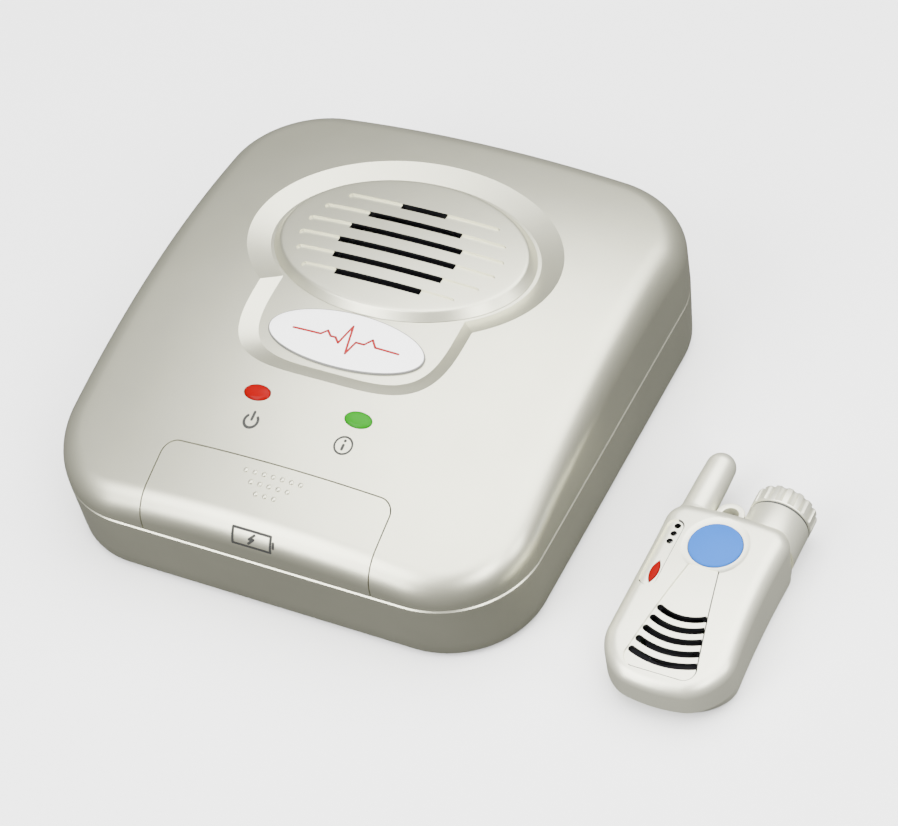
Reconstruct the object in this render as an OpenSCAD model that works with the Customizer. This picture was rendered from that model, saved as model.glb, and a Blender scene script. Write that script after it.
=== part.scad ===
// Emergency response set: a telephone base station and a two-way voice pendant lying beside it.
// Millimetres, +Z up, origin on the table under the middle of the set, front of the base towards -Y.

/* [Base station] */
// Width of the case
base_w = 150; // [142:1:165]
// Depth of the case, front to back
base_d = 157; // [152:1:170]
// Plan radius of the case corners
corner_r = 28.7; // [24:0.1:34]
// Height of the lower case, from its underside to the seam
lower_h = 20.3; // [19:0.1:24]
// Height of the crown's edge above the underside of the case
crown_edge_h = 31.35; // [31:0.05:36]
// Rise of the crown across the width
crown_rise_x = 6.85; // [4:0.05:9]
// Rise of the crown from front to back
crown_rise_y = 11.72; // [9:0.02:13]
// How much higher the back edge is than the middle
crown_tilt = 6.12; // [4:0.02:7]
// Radius where the crown rolls over into the walls
edge_r = 10; // [8:0.5:11]
// Wall thickness of both case halves
wall = 2.4; // [2:0.1:3]
// Inward lean of the lower case's walls at the bottom
draft = 1; // [0:0.1:2]
// Open line between the two case halves
seam_gap = 0.3; // [0.1:0.1:0.6]

/* [Recess and grille] */
// Distance of the grille's centre behind the case's centre
grille_y = 23.7; // [20:0.1:26]
// Reach of the recess's rim beyond the grille plate, to each side
dish_a = 10.5; // [9.5:0.1:12]
// Reach of the recess's rim beyond the grille plate, in front and behind
dish_b = 9.65; // [9.5:0.05:11]
// Width of the sloping side of the recess
dish_slope = 6.8; // [5:0.1:7]
// Depth of the recess below the crown
recess_depth = 2.6; // [1.8:0.1:3.2]
// Half width of the grille plate's top
grille_a = 38.5; // [34:0.1:39]
// Half depth of the grille plate's top
grille_b = 25.75; // [22:0.05:26]
// Width of one grille slot
slot_w = 2.2; // [1.4:0.1:3]
// Distance between two grille slots
slot_pitch = 6.08; // [5:0.02:6.5]
// Half length of the longest grille slot
slot_half = 32.5; // [24:0.5:33]
// Radius of the sound hole under the grille
sound_r = 19; // [15:0.5:22]
// Half width of the badge pocket at its rim
pocket_a = 34.4; // [32:0.1:36]
// Reach of the badge pocket in front of its centre
pocket_b = 32; // [31:0.1:34]
// Width of the pocket's sloping side
pocket_slope = 4.8; // [3:0.1:6]
// Half width of the badge
badge_a = 25; // [20:0.5:27]
// Half depth of the badge
badge_b = 9.5; // [7:0.1:10]
// Distance of the badge's middle in front of the grille plate
badge_y = 12.15; // [11.5:0.05:13]
// Thickness of the badge
badge_t = 0.6; // [0.4:0.1:1]

/* [Lamps] */
// Half distance between the two lenses
lens_x = 16.2; // [13:0.1:20]
// Distance of the lenses in front of the badge pocket
lens_y = 8.5; // [6.8:0.1:9]
// Half width of a lens
lens_a = 4.3; // [3:0.1:5]
// Half depth of a lens
lens_b = 2.6; // [2:0.1:3.5]
// How far a lens stands proud
lens_proud = 0.9; // [0.5:0.1:1.4]

/* [Charger] */
// Half width of the door
door_half = 36.6; // [36:0.1:40]
// Distance of the door's back edge from the front of the case
door_depth = 21; // [20:0.1:23]
// Radius of the door's back corners
door_r = 4.5; // [2:0.1:6]
// Open line round the door
door_gap = 0.3; // [0.2:0.05:0.5]
// Distance between grip dots
dot_pitch = 2.9; // [2.4:0.1:3.2]
// Radius of a grip dot
dot_r = 0.8; // [0.5:0.1:1]
// Diameter of the rechargeable cell
cell_d = 10.2; // [9.6:0.1:10.4]
// Length of the rechargeable cell
cell_l = 28; // [26:0.5:29]

/* [Base fittings] */
// How far the feet stand below the case
foot_proj = 1.2; // [0.8:0.1:2]
// Radius of a foot
foot_r = 6.5; // [5:0.5:7.5]
// Half distance between the feet across the case
foot_x = 50; // [46:1:52]
// Half distance between the feet along the case
foot_y = 58; // [56:1:60]
// Half distance between the case screws across the case
screw_x = 60; // [58:0.5:62]
// Half distance between the case screws along the case
screw_y = 42; // [38:1:44]
// Radius of the loudspeaker
speaker_r = 25; // [23:0.5:26]
// Height of the loudspeaker behind its rim
speaker_h = 17; // [14:0.5:19]
// Thickness of a circuit board
board_t = 1.6; // [1:0.1:2]
// Height of the posts under the main board
post_h = 3; // [2:0.5:4]
// Width of a telephone jack
jack_w = 13.4; // [12.6:0.1:14]
// Height of a telephone jack
jack_h = 11.2; // [10:0.1:11.6]
// Depth of a telephone jack
jack_d = 16; // [14:0.5:18]
// Width of a telephone socket
socket_w = 9.8; // [9.6:0.1:10.2]
// Height of a telephone socket
socket_h = 6.8; // [6.4:0.1:7.2]
// Depth of a telephone socket
socket_d = 12; // [10:0.5:13]
// Radius of the power socket
power_r = 3.1; // [2.9:0.05:3.4]
// Radius of the pin in the power socket
power_pin_r = 1; // [0.8:0.05:1.3]

/* [Pendant] */
// Free space between the base and the pendant
side_gap = 24.4; // [15:0.1:60]
// Distance of the pendant's middle in front of the base's middle
pend_front = 43; // [35:0.5:45]
// Width of the pendant
pend_w = 36; // [35:0.1:40]
// Length of the pendant's body before its ends bulge
pend_l = 55; // [54:0.5:60]
// Height of the pendant at the sides of its face
pend_h = 19.4; // [18:0.1:20]
// Height of the pendant's seam above the table
pend_seam = 5; // [4.5:0.1:5.4]
// Wall thickness of the pendant
pend_wall = 1.6; // [1.2:0.1:1.8]
// Radius of the pendant's face edge
face_r = 4.5; // [3.5:0.1:5]
// Radius of the corners at the button end
top_corner_r = 6; // [5:0.5:8]
// Radius of the corners at the speaker end
low_corner_r = 10.5; // [8:0.5:12]
// Rise of the middle of the face
face_rise = 0.5; // [0.2:0.1:1]
// How far the face falls towards the speaker end
face_fall = 5.6; // [3:0.1:6]
// Radius of the alert button
button_r = 7.6; // [6.5:0.1:8]
// Distance of the button from the middle of the body
button_y = 14.6; // [13:0.1:16]
// How far the button stands proud
button_proud = 1; // [0.6:0.1:1.6]
// Travel of the button
button_travel = 0.8; // [0.4:0.1:0.8]

/* [Pendant ends] */
// Radius of the antenna cover
antenna_r = 4.9; // [4.4:0.1:5]
// Distance of the antenna from the pendant's middle line
antenna_x = 13.1; // [13:0.1:13.3]
// Height of the antenna's axis
antenna_z = 10.3; // [10.2:0.1:10.8]
// Length of antenna that stands out of the body
antenna_l = 25; // [15:0.5:40]
// Radius of the battery neck
neck_r = 9; // [8.4:0.1:9]
// Distance of the battery's axis from the pendant's middle line
neck_x = 9.6; // [9.5:0.1:9.8]
// Height of the battery's axis
neck_z = 9.5; // [9.1:0.1:9.6]
// Length of battery neck that stands out of the body
neck_l = 7; // [5:0.1:9]
// Length of the battery cap
cap_l = 6.2; // [6:0.1:10]
// Number of flutes round the cap
flutes = 16; // [12:1:20]
// Lead of the cap's thread for one turn
cap_lead = 2.5; // [1.5:0.1:3]
// Turns that take the cap off
cap_turns = 2; // [1:1:3]
// Radius of the hole in the lanyard eye
eye_r = 2.4; // [2:0.1:2.5]
// Width of the ring round the lanyard hole
eye_ring = 1.7; // [1.5:0.1:1.8]
// Distance of the lanyard eye from the pendant's middle line
eye_x = 3.8; // [3.7:0.1:3.9]
// Distance of the lanyard hole from the body
eye_l = 4.4; // [4.3:0.1:5]
// Thickness of the lanyard eye
eye_t = 4.4; // [3:0.1:5]

/* [Hidden] */
$fn = 48;

// Free play of pieces that only sit beside each other, and of shafts that turn or slide in a bore
play = 0.15;
running = 0.08;
// Overshoot of every cutting shape
over = 1;
shell_colour = [0.83, 0.83, 0.79];
pendant_colour = [0.91, 0.91, 0.87];
board_colour = [0.1, 0.35, 0.18];
metal_colour = [0.72, 0.72, 0.74];
black_colour = [0.08, 0.08, 0.09];

// Steps round each corner and along each side of an outline, and in each edge roll
corner_steps = 8;
side_steps = 6;
roll_steps = 6;
ring_points = 4 * (corner_steps + side_steps);
crown_shares = [0.86, 0.7, 0.54, 0.38, 0.22, 0.1];

// Levels of the base
case_z = foot_proj;
floor_z = case_z + wall;
seam_z = case_z + lower_h;
cover_z = seam_z + seam_gap;
board_z = floor_z + post_h;
board_top = board_z + board_t;
half_w = base_w / 2;
half_d = base_d / 2;
front_y = -half_d;
grille_c = [0, grille_y];
// The sound hole and the loudspeaker sit a little in front of the grille's middle
sound_front = 4;
sound_c = grille_c - [0, sound_front];
badge_c = [0, grille_y - grille_b - badge_y];
pocket_back = 16.2;
pocket_c = badge_c + [0, pocket_back];
lens_line = pocket_c.y - pocket_b - lens_y;
lens_places = [for (x = [-lens_x, lens_x]) [x, lens_line]];
case_screws_at = [for (x = [-screw_x, screw_x], y = [-screw_y, screw_y]) [x, y]];
feet_at = [for (x = [-foot_x, foot_x], y = [-foot_y, foot_y]) [x, y]];

// Outline of the pendant and the place of both units in the set
function middle_of(a, b, t) = a + (b - a) * t;
function corner_sign(k) = [[1, 1], [-1, 1], [-1, -1], [1, -1]][k % 4];
function corner_arc(w, d, r, s, k) =
    let (sign = corner_sign(k), c = [sign.x * (w / 2 - r), sign.y * (d / 2 - r)])
    [for (i = [0 : corner_steps]) let (a = 90 * (k + i / corner_steps)) c + (r - s) * [cos(a), sin(a)]];
// Rounded rectangle with radius back_r behind and front_r in front, moved in by s
function rounded_rect(w, d, back_r, front_r, s = 0) =
    let (arcs = [for (k = [0 : 4]) corner_arc(w, d, k % 4 < 2 ? back_r : front_r, s, k)])
    [for (k = [0 : 3]) each concat(arcs[k],
        [for (j = [1 : side_steps - 1]) middle_of(arcs[k][corner_steps], arcs[k + 1][0], j / side_steps)])];
function base_outline(s) = rounded_rect(base_w, base_d, corner_r, corner_r, s);

// The pendant is drawn in at its waist, and its ends bulge
waist_share = 0.995;
waist_flare = 0.06;
waist_at = 0.25;
low_bulge = 4.5;
top_bulge = 1;
function pendant_bend(p) =
    let (u = p.y / (pend_l / 2), across = 1 - pow(p.x / (pend_w / 2), 2))
    [p.x * (waist_share + waist_flare * pow(u - waist_at, 2)),
     p.y + (u < 0 ? -low_bulge : top_bulge) * u * u * across];
function pendant_outline(s) =
    [for (p = rounded_rect(pend_w, pend_l, top_corner_r, low_corner_r, s)) pendant_bend(p)];
pend_half = max([for (p = pendant_outline(0)) p.x]);
base_x = -(side_gap + pend_w / 2 + pend_half) / 2;
pend_x = base_x + half_w + side_gap + pend_w / 2;
pend_y = -pend_front;
pend_top = pend_l / 2 + top_bulge;
function pend_end(x) = pend_l / 2 + top_bulge * (1 - pow(x / (pend_w / 2), 2));

module at_base() translate([base_x, 0, 0]) children();
module at_pendant() translate([pend_x, pend_y, 0]) children();

// Heights of the two crowned faces
function crown(p) = case_z + crown_edge_h + crown_rise_x * (1 - pow(p.x / half_w, 2))
    + crown_rise_y * (1 - pow(p.y / half_d, 2)) + crown_tilt * p.y / half_d;
fall_from = 8;
function fall(y) = face_fall * pow(max(0, fall_from - y) / (fall_from + pend_l / 2 + low_bulge), 2);
function face(p) = pend_h + face_rise * (1 - pow(p.x / (pend_w / 2), 2)) - fall(p.y);
function lift(points, skin, dz) = [for (p = points) [p.x, p.y, skin(p) + dz]];
function level(points, z) = [for (p = points) [p.x, p.y, z]];
function shares(points, c, k) = [for (p = points) c + (p - c) * k];
function ellipse_points(c, a, b, power = 2) = [for (i = [0 : ring_points - 1])
    let (t = 360 * i / ring_points, x = cos(t), y = sin(t))
    c + [a * sign(x) * pow(abs(x), 2 / power), b * sign(y) * pow(abs(y), 2 / power)]];

// Closed body through rings of equal count, from the lowest middle point to the highest
module loft(rings, low, high) {
    n = len(rings[0]);
    m = len(rings);
    last = n * m + 1;
    points = concat([low], [for (ring = rings) each ring], [high]);
    sides = [for (j = [0 : m - 2], i = [0 : n - 1])
        let (a = 1 + j * n + i, b = 1 + j * n + (i + 1) % n) each [[a, a + n, b + n], [a, b + n, b]]];
    lid_low = [for (i = [0 : n - 1]) [0, 1 + i, 1 + (i + 1) % n]];
    lid_high = [for (i = [0 : n - 1]) [last, last - n + (i + 1) % n, last - n + i]];
    polyhedron(points, concat(lid_low, sides, lid_high));
}

// Wall along an outline that rolls over with radius r into a crowned skin lowered by drop
module dome(outline, skin, z0, r, inset = 0, drop = 0) {
    edge = outline(inset);
    inner = outline(inset + 1);
    inward = [for (i = [0 : len(edge) - 1]) (inner[i] - edge[i]) / norm(inner[i] - edge[i])];
    tilt = [for (i = [0 : len(edge) - 1]) let (p = edge[i] + inward[i] * r * 0.7)
        atan((skin(p + inward[i] / 2) - skin(p - inward[i] / 2)))];
    meet = [for (i = [0 : len(edge) - 1]) edge[i] + inward[i] * r * (1 - sin(tilt[i]))];
    rolls = [for (j = [0 : roll_steps]) [for (i = [0 : len(edge) - 1])
        let (a = (90 - tilt[i]) * j / roll_steps, p = edge[i] + inward[i] * r * (1 - cos(a)))
        [p.x, p.y, skin(meet[i]) - drop - r * cos(tilt[i]) + r * sin(a)]]];
    crowns = [for (k = crown_shares) lift(shares(meet, [0, 0], k), skin, -drop)];
    loft(concat([level(edge, z0)], rolls, crowns), [0, 0, z0], [0, 0, skin([0, 0]) - drop]);
}

// Slab between two heights over a crowned skin
module patch(outline, c, skin, low, high) {
    rings = concat([for (k = [0.33, 0.66]) lift(shares(outline, c, k), skin, low)],
                   [lift(outline, skin, low), lift(outline, skin, high)],
                   [for (k = [0.66, 0.33]) lift(shares(outline, c, k), skin, high)]);
    loft(rings, [c.x, c.y, skin(c) + low], [c.x, c.y, skin(c) + high]);
}

// Hollow cut from above: flat to the crown at depth inside floor_edge, sloping out past rim_edge
module hollow(floor_edge, rim_edge, c, depth, high) {
    top = 6;
    rings = concat([for (k = [0.33, 0.66]) lift(shares(floor_edge, c, k), base_crown, -depth)],
                   [lift(floor_edge, base_crown, -depth), lift(rim_edge, base_crown, high),
                    lift(rim_edge, base_crown, top)]);
    loft(rings, [c.x, c.y, crown(c) - depth], [c.x, c.y, crown(c) + top]);
}
base_crown = function (p) crown(p);
pendant_face = function (p) face(p);
base_edge = function (s) base_outline(s);
pendant_edge = function (s) pendant_outline(s);

// Repeated small shapes
module post(p, r, z0, z1) translate([p.x, p.y, z0]) cylinder(r = r, h = z1 - z0);
module block(low, high) translate(low) cube(high - low);
module both_sides() for (m = [0, 1]) mirror([m, 0, 0]) children();
module stadium(half, w) {
    square([2 * half - w, w], center = true);
    for (x = [-1, 1]) translate([x * (half - w / 2), 0]) circle(d = w);
}
module screw_up(p, z, head_r, head_h, shaft_r, shaft_l) {
    slot_share = 0.35;
    difference() {
        union() {
            post(p, head_r, z, z + head_h);
            post(p, shaft_r, z, z + head_h + shaft_l);
        }
        for (a = [0, 90]) translate([p.x, p.y, z]) rotate(a)
            cube([head_r * 1.3, head_r * slot_share, head_h], center = true);
    }
}

// Recess, pocket, and the pan that carries them inside the cover
pocket_power = 3.8;
rim_rise = 0.75;
pan_over = 2;
dish_spread = dish_slope * rim_rise / recess_depth;
pocket_spread = pocket_slope * rim_rise / recess_depth;
function dish_edge(s) = ellipse_points(grille_c, grille_a + dish_a + s, grille_b + dish_b + s);
function pocket_edge(s) = ellipse_points(pocket_c, pocket_a + s, pocket_b + s, pocket_power);
module recess_cut() {
    hollow(dish_edge(-dish_slope), dish_edge(dish_spread), grille_c, recess_depth, rim_rise);
    hollow(pocket_edge(-pocket_slope), pocket_edge(pocket_spread), pocket_c, recess_depth, rim_rise);
}
module recess_pan() {
    patch(dish_edge(pan_over), grille_c, base_crown, -recess_depth - wall, -over);
    patch(pocket_edge(pan_over), pocket_c, base_crown, -recess_depth - wall, -over);
}

// Seat of the loudspeaker under the pan
seat_drop = 4;
seat_z = crown(grille_c) - recess_depth - wall - seat_drop;
seat_w = 2.5;
speaker_bolt_r = speaker_r + 4;
speaker_bolts = [for (a = [90, 210, 330]) sound_c + speaker_bolt_r * [cos(a), sin(a)]];
pilot_r = 1.1;
boss_r = 4;
small_boss_r = 3;

// Door of the charger bay, and the straight guides that it runs in
door_back = front_y + door_depth;
leg_t = 1.6;
tongue_w = 1.4;
tongue_h = 1.4;
leg_in = 5.4;
leg_x = door_half - leg_in;
leg_back = 5.5;
leg_front = front_y + leg_back;
leg_rise = 1.8;
leg_z = cover_z + leg_rise;
tongue_rise = 0.7;
tongue_z = leg_z + tongue_rise;
rail_x = leg_x + leg_t + door_gap;
rail_w = 4.4;
rail_over = 2;
rail_top = tongue_z + tongue_h + rail_over;
rail_run = 5;
rail_back = door_back + rail_run;
lip_h = 2.2;
lip_w = 1.2;
lip_clear = 0.25;
prism_front = front_y - 20;
module door_prism(s) {
    back = door_back - s;
    half = door_half - s;
    r = door_r - s;
    translate([0, 0, s > 0 ? cover_z : seam_z - over]) linear_extrude(height = 2 * crown_edge_h) union() {
        translate([-half, prism_front]) square([2 * half, back - r - prism_front]);
        translate([r - half, back - r - over]) square([2 * (half - r), r + over]);
        for (x = [-1, 1]) translate([x * (half - r), back - r]) circle(r = r);
    }
}

module cover_dome(inset = 0) dome(base_edge, base_crown, inset > 0 ? seam_z - over : cover_z, edge_r - inset,
                                  inset, inset);
module cover_space() difference() {
    cover_dome(wall);
    recess_pan();
    for (p = case_screws_at) post(p, boss_r, seam_z - 2 * over, crown(p));
    for (p = speaker_bolts) post(p, small_boss_r, seat_z, crown(p));
    difference() {
        post(sound_c, speaker_r - play, seat_z, crown(sound_c));
        post(sound_c, speaker_r - play - seat_w, seat_z - over, crown(sound_c) + over);
    }
}
module upper_cover() color(shell_colour) at_base() difference() {
    cover_dome();
    cover_space();
    recess_cut();
    post(sound_c, sound_r, seat_z, crown(sound_c) + over);
    for (p = lens_places) translate([p.x, p.y, seam_z]) linear_extrude(height = crown_edge_h)
        polygon(ellipse_points([0, 0], lens_a, lens_b));
    for (p = case_screws_at) post(p, pilot_r, seam_z - over, seam_z + lower_h / 2);
    for (p = speaker_bolts) post(p, pilot_r, seat_z - over, seat_z + seat_drop);
    door_prism(0);
}

// Door: the same crowned shell, two legs with tongues, a lip behind, and grip dots in a triangle
dot_first = 3.6;
dot_proud = 0.35;
dot_rows = [7, 5, 3];
lip_half = 16;
lip_reach = 3.2;
lip_root = 1.8;
lip_shoulder = 0.8;
lip_t = 1.2;
door_end = door_back - door_gap;
lip_slope = atan((crown([0, door_end + 1]) - crown([0, door_end - 1])) / 2);
lip_z = crown([lip_half, door_end]) - (wall + door_gap) / cos(lip_slope) - lip_t;
module door_space() difference() {
    cover_dome(wall);
    both_sides() block([leg_x, leg_front, leg_z], [leg_x + leg_t, door_end + over, 2 * crown_edge_h]);
    both_sides() block([leg_x + leg_t / 2, leg_front, tongue_z],
                       [leg_x + leg_t + tongue_w, door_end + over, tongue_z + tongue_h]);
    block([-lip_half - lip_shoulder, door_end - lip_root, lip_z - lip_t / 2],
          [lip_half + lip_shoulder, door_end + over, 2 * crown_edge_h]);
}
module charger_door() color(shell_colour) at_base() {
    difference() {
        intersection() {
            cover_dome();
            door_prism(door_gap);
        }
        door_space();
    }
    translate([-lip_half, door_end, lip_z]) rotate([lip_slope, 0, 0]) translate([0, -lip_root / 2, 0])
        cube([2 * lip_half, lip_root / 2 + lip_reach, lip_t]);
    for (row = [0 : len(dot_rows) - 1], i = [0 : dot_rows[row] - 1]) {
        p = [(i - (dot_rows[row] - 1) / 2) * dot_pitch, door_back - dot_first - row * dot_pitch];
        post(p, dot_r, crown(p) - wall / 2, crown(p) + dot_proud);
    }
}

// Oval plate over the sound hole: its slots are open over the hole, and grooves beyond it
groove_depth = 0.5;
grille_foot = [2.6, 2.1];
grille_round = 0.4;
grille_round_h = 0.3;
slot_rows = 6;
slot_margin = 6.3;
slots_front = 1.7;
function slot_y(i) = grille_y - slots_front + (i - (slot_rows - 1) / 2) * slot_pitch;
function slot_reach(y) = min(slot_half,
    grille_a * sqrt(1 - pow((y - grille_y + slots_front) / grille_b, 2)) - slot_margin);
module grille_slots() for (i = [0 : slot_rows - 1]) translate([0, slot_y(i), seat_z])
    linear_extrude(height = crown_edge_h) stadium(slot_reach(slot_y(i)), slot_w);
module speaker_grille() color(shell_colour) at_base() difference() {
    foot_dz = play - recess_depth;
    foot = ellipse_points(grille_c, grille_a + grille_foot.x, grille_b + grille_foot.y);
    side = ellipse_points(grille_c, grille_a + grille_round, grille_b + grille_round);
    top = ellipse_points(grille_c, grille_a, grille_b);
    loft(concat([for (k = [0.33, 0.66]) lift(shares(foot, grille_c, k), base_crown, foot_dz)],
                [lift(foot, base_crown, foot_dz), lift(side, base_crown, -grille_round_h),
                 lift(top, base_crown, 0)],
                [for (k = [0.66, 0.33]) lift(shares(top, grille_c, k), base_crown, 0)]),
         [0, grille_y, crown(grille_c) + foot_dz], [0, grille_y, crown(grille_c)]);
    intersection() {
        grille_slots();
        post(sound_c, sound_r, seat_z, crown(sound_c) + over);
    }
    difference() {
        grille_slots();
        patch(top, grille_c, base_crown, -recess_depth - over, -groove_depth);
    }
}
module badge_plate() color("white") at_base()
    patch(ellipse_points(badge_c, badge_a, badge_b), badge_c, base_crown,
          play - recess_depth, play + badge_t - recess_depth);

// Oval lens with a flange under the cover and a stem that carries the light up from its lamp
lamp_r = 2.5;
lamp_h = 5;
lens_flange = 1;
lens_flange_t = 1;
module lens(p) {
    seat = -wall - 2 * play;
    sizes = [[lens_flange, seat - lens_flange_t], [lens_flange, seat], [-play, seat], [-play, 0.1],
             [-lens_b * 0.3, lens_proud * 0.6], [-lens_b * 0.65, lens_proud * 0.93]];
    loft([for (s = sizes) lift(ellipse_points(p, lens_a + s[0], lens_b + s[0]), base_crown, s[1])],
         [p.x, p.y, crown(p) + sizes[0][1]], [p.x, p.y, crown(p) + lens_proud]);
    post(p, lens_b - play * 2, board_top + lamp_h + play, crown(p) - wall);
}
module power_lens() color("firebrick") at_base() lens(lens_places[0]);
module info_lens() color("limegreen") at_base() lens(lens_places[1]);

// Loudspeaker: basket, cone and magnet on one axis
rim_t = 1.2;
rim_z = seat_z - rim_t;
magnet_r = 15;
magnet_h = 7;
cone_t = 0.5;
cone_top_r = speaker_r - 4.5;
coil_r = 6;
cone_rim_w = 2;
cone_rim_h = 0.4;
cone_low_h = 2;
dust_cap_h = 3.2;
magnet_z = seat_z - speaker_h;
basket_z = magnet_z + magnet_h;
ear_r = 3.2;
ear_clear = 0.4;
// Where an ear starts, just outside the cone
function ear_root(p) = sound_c + (p - sound_c) / norm(p - sound_c) * (cone_top_r + ear_r + ear_clear);
module speaker_frame() color(metal_colour) at_base() {
    difference() {
        union() {
            translate([0, sound_c.y, 0]) rotate_extrude() polygon([
                [cone_top_r, rim_z], [speaker_r, rim_z], [speaker_r, seat_z], [cone_top_r, seat_z]]);
            for (p = speaker_bolts) post(p, ear_r, rim_z, seat_z);
            for (p = speaker_bolts) hull() {
                post(p, ear_r * 0.8, rim_z, seat_z);
                post(ear_root(p), ear_r, rim_z, seat_z);
            }
        }
        for (p = speaker_bolts) post(p, pilot_r + play, rim_z - over, seat_z + over);
    }
    translate([0, sound_c.y, 0]) rotate_extrude() polygon([
        [coil_r + 2, basket_z], [magnet_r - 1, basket_z], [cone_top_r + 1, rim_z], [cone_top_r, rim_z],
        [magnet_r - 2, basket_z + 1], [coil_r + 2, basket_z + 1]]);
}
module speaker_cone() color(black_colour) at_base() translate([0, sound_c.y, 0]) rotate_extrude() polygon([
    [0, basket_z + dust_cap_h], [coil_r, basket_z + cone_low_h], [cone_top_r - cone_rim_w, rim_z],
    [cone_top_r - play, rim_z + cone_rim_h], [cone_top_r - play, rim_z + cone_rim_h + cone_t],
    [cone_top_r - cone_rim_w - play, rim_z + cone_t], [coil_r, basket_z + cone_low_h + cone_t * 1.5],
    [0, basket_z + dust_cap_h + cone_t]]);
module speaker_magnet() color([0.25, 0.25, 0.27]) at_base() post(sound_c, magnet_r, magnet_z, basket_z);
module speaker_screws() color(metal_colour) at_base()
    for (p = speaker_bolts) screw_up(p, rim_z - 1.2, 2.2, 1.2, pilot_r - play, rim_t + seat_drop - 1);

// Main board on posts, with the parts that stand on it
board_x0 = -28;
board_x1 = 50;
board_y0 = -46;
jack_face = half_d - draft;
board_under = 2.5;
board_y1 = jack_face - jack_d + board_under;
board_hole = 4;
board_bolts = [for (x = [board_x0 + board_hole, board_x1 - board_hole],
                    y = [board_y0 + board_hole, board_y1 - board_hole]) [x, y]];
module main_board() color(board_colour) at_base() difference() {
    block([board_x0, board_y0, board_z], [board_x1, board_y1, board_top]);
    for (p = board_bolts) post(p, pilot_r + play, board_z - over, board_top + over);
}
// Corner and size of each chip, relay and transformer, and the middles of the capacitors
chips = [[[-1, -23], [18, 18, 1.6]], [[28, -20], [12, 9, 1.4]],
         [[26, -2], [16, 12, 9]], [[-18, -8], [10, 16, 2.4]]];
capacitors = [[-18, 30], [-8, 44], [34, 34]];
capacitor_r = 4;
capacitor_h = 9;
module board_parts() color(black_colour) at_base() {
    for (chip = chips) translate([chip[0].x, chip[0].y, board_top]) cube(chip[1]);
    for (p = capacitors) post(p, capacitor_r, board_top, board_top + capacitor_h);
}
module board_screws() color(metal_colour) at_base() for (p = board_bolts)
    translate([p.x, p.y, board_top + 1.2]) mirror([0, 0, 1])
        screw_up([0, 0], 0, 2.2, 1.2, pilot_r - play, board_t + post_h - 0.4);
module lamps() color([0.9, 0.9, 0.85]) at_base() for (p = lens_places) {
    post(p, lamp_r, board_top, board_top + lamp_h);
    post(p, lamp_r + 0.5, board_top, board_top + 1);
}

// Sockets at the back: their mouths stand in windows of the lower case
line_x = -14;
phone_x = 6;
power_x = 30;
power_w = 9.4;
power_h = 11;
power_d = 14;
power_back = 3;
power_z = board_top + power_h / 2;
module phone_socket(x) difference() {
    block([x - jack_w / 2, jack_face - jack_d, board_top], [x + jack_w / 2, jack_face, board_top + jack_h]);
    block([x - socket_w / 2, jack_face - socket_d, board_top + (jack_h - socket_h) / 2],
          [x + socket_w / 2, jack_face + over, board_top + (jack_h + socket_h) / 2]);
}
module line_jack() color(black_colour) at_base() phone_socket(line_x);
module phone_jack() color(black_colour) at_base() phone_socket(phone_x);
module power_jack() color(black_colour) at_base() difference() {
    block([power_x - power_w / 2, jack_face - power_d, board_top],
          [power_x + power_w / 2, jack_face, board_top + power_h]);
    translate([power_x, jack_face + over, power_z]) rotate([90, 0, 0])
        cylinder(r = power_r, h = power_d - power_back + over);
}
module power_pin() color(metal_colour) at_base()
    translate([power_x, jack_face - over, power_z]) rotate([90, 0, 0])
        cylinder(r = power_pin_r, h = power_d - power_back - over);

// Charger tray: a trough for one cell, on walls that stand on the floor, with a guide rail at each end
bay_end = 5;
bay_half = cell_l / 2 + bay_end;
bay_spare = 2.6;
bay_w = cell_d + bay_spare;
bay_front = 11.6;
bay_y = front_y + bay_front;
bay_depth = 7;
bay_z = leg_z - bay_depth;
rail_front = leg_front - 2;
tray_wall = 1.5;
tray_top = leg_z;
contact_t = 0.5;
contact_w = 8;
contact_rise = 2;
nub_r = [2.6, 1.2];
nub_h = 2;
module charger_tray() color(shell_colour) at_base() {
    difference() {
        block([-bay_half - tray_wall, bay_y - bay_w / 2 - tray_wall, floor_z],
              [bay_half + tray_wall, bay_y + bay_w / 2 + tray_wall, tray_top]);
        block([-bay_half, bay_y - bay_w / 2, bay_z], [bay_half, bay_y + bay_w / 2, tray_top + over]);
        block([-bay_half, bay_y - bay_w / 2, floor_z - over], [bay_half, bay_y + bay_w / 2, bay_z - tray_wall]);
    }
    both_sides() difference() {
        block([bay_half, rail_front, floor_z], [rail_x + rail_w, rail_back, rail_top]);
        block([bay_half + tray_wall, rail_front - over, floor_z + tray_wall],
              [rail_x, rail_back + over, rail_top + over]);
        block([rail_x - over, rail_front - over, tongue_z - door_gap],
              [rail_x + tongue_w, rail_back + over, tongue_z + tongue_h + door_gap]);
    }
}
module charger_contacts() color([0.8, 0.68, 0.35]) at_base() both_sides() {
    block([bay_half - contact_t, bay_y - contact_w / 2, bay_z],
          [bay_half, bay_y + contact_w / 2, tray_top + contact_rise]);
    translate([bay_half - contact_t, bay_y, bay_z + cell_d / 2]) rotate([0, -90, 0])
        cylinder(r1 = nub_r[0], r2 = nub_r[1], h = nub_h);
}

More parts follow.
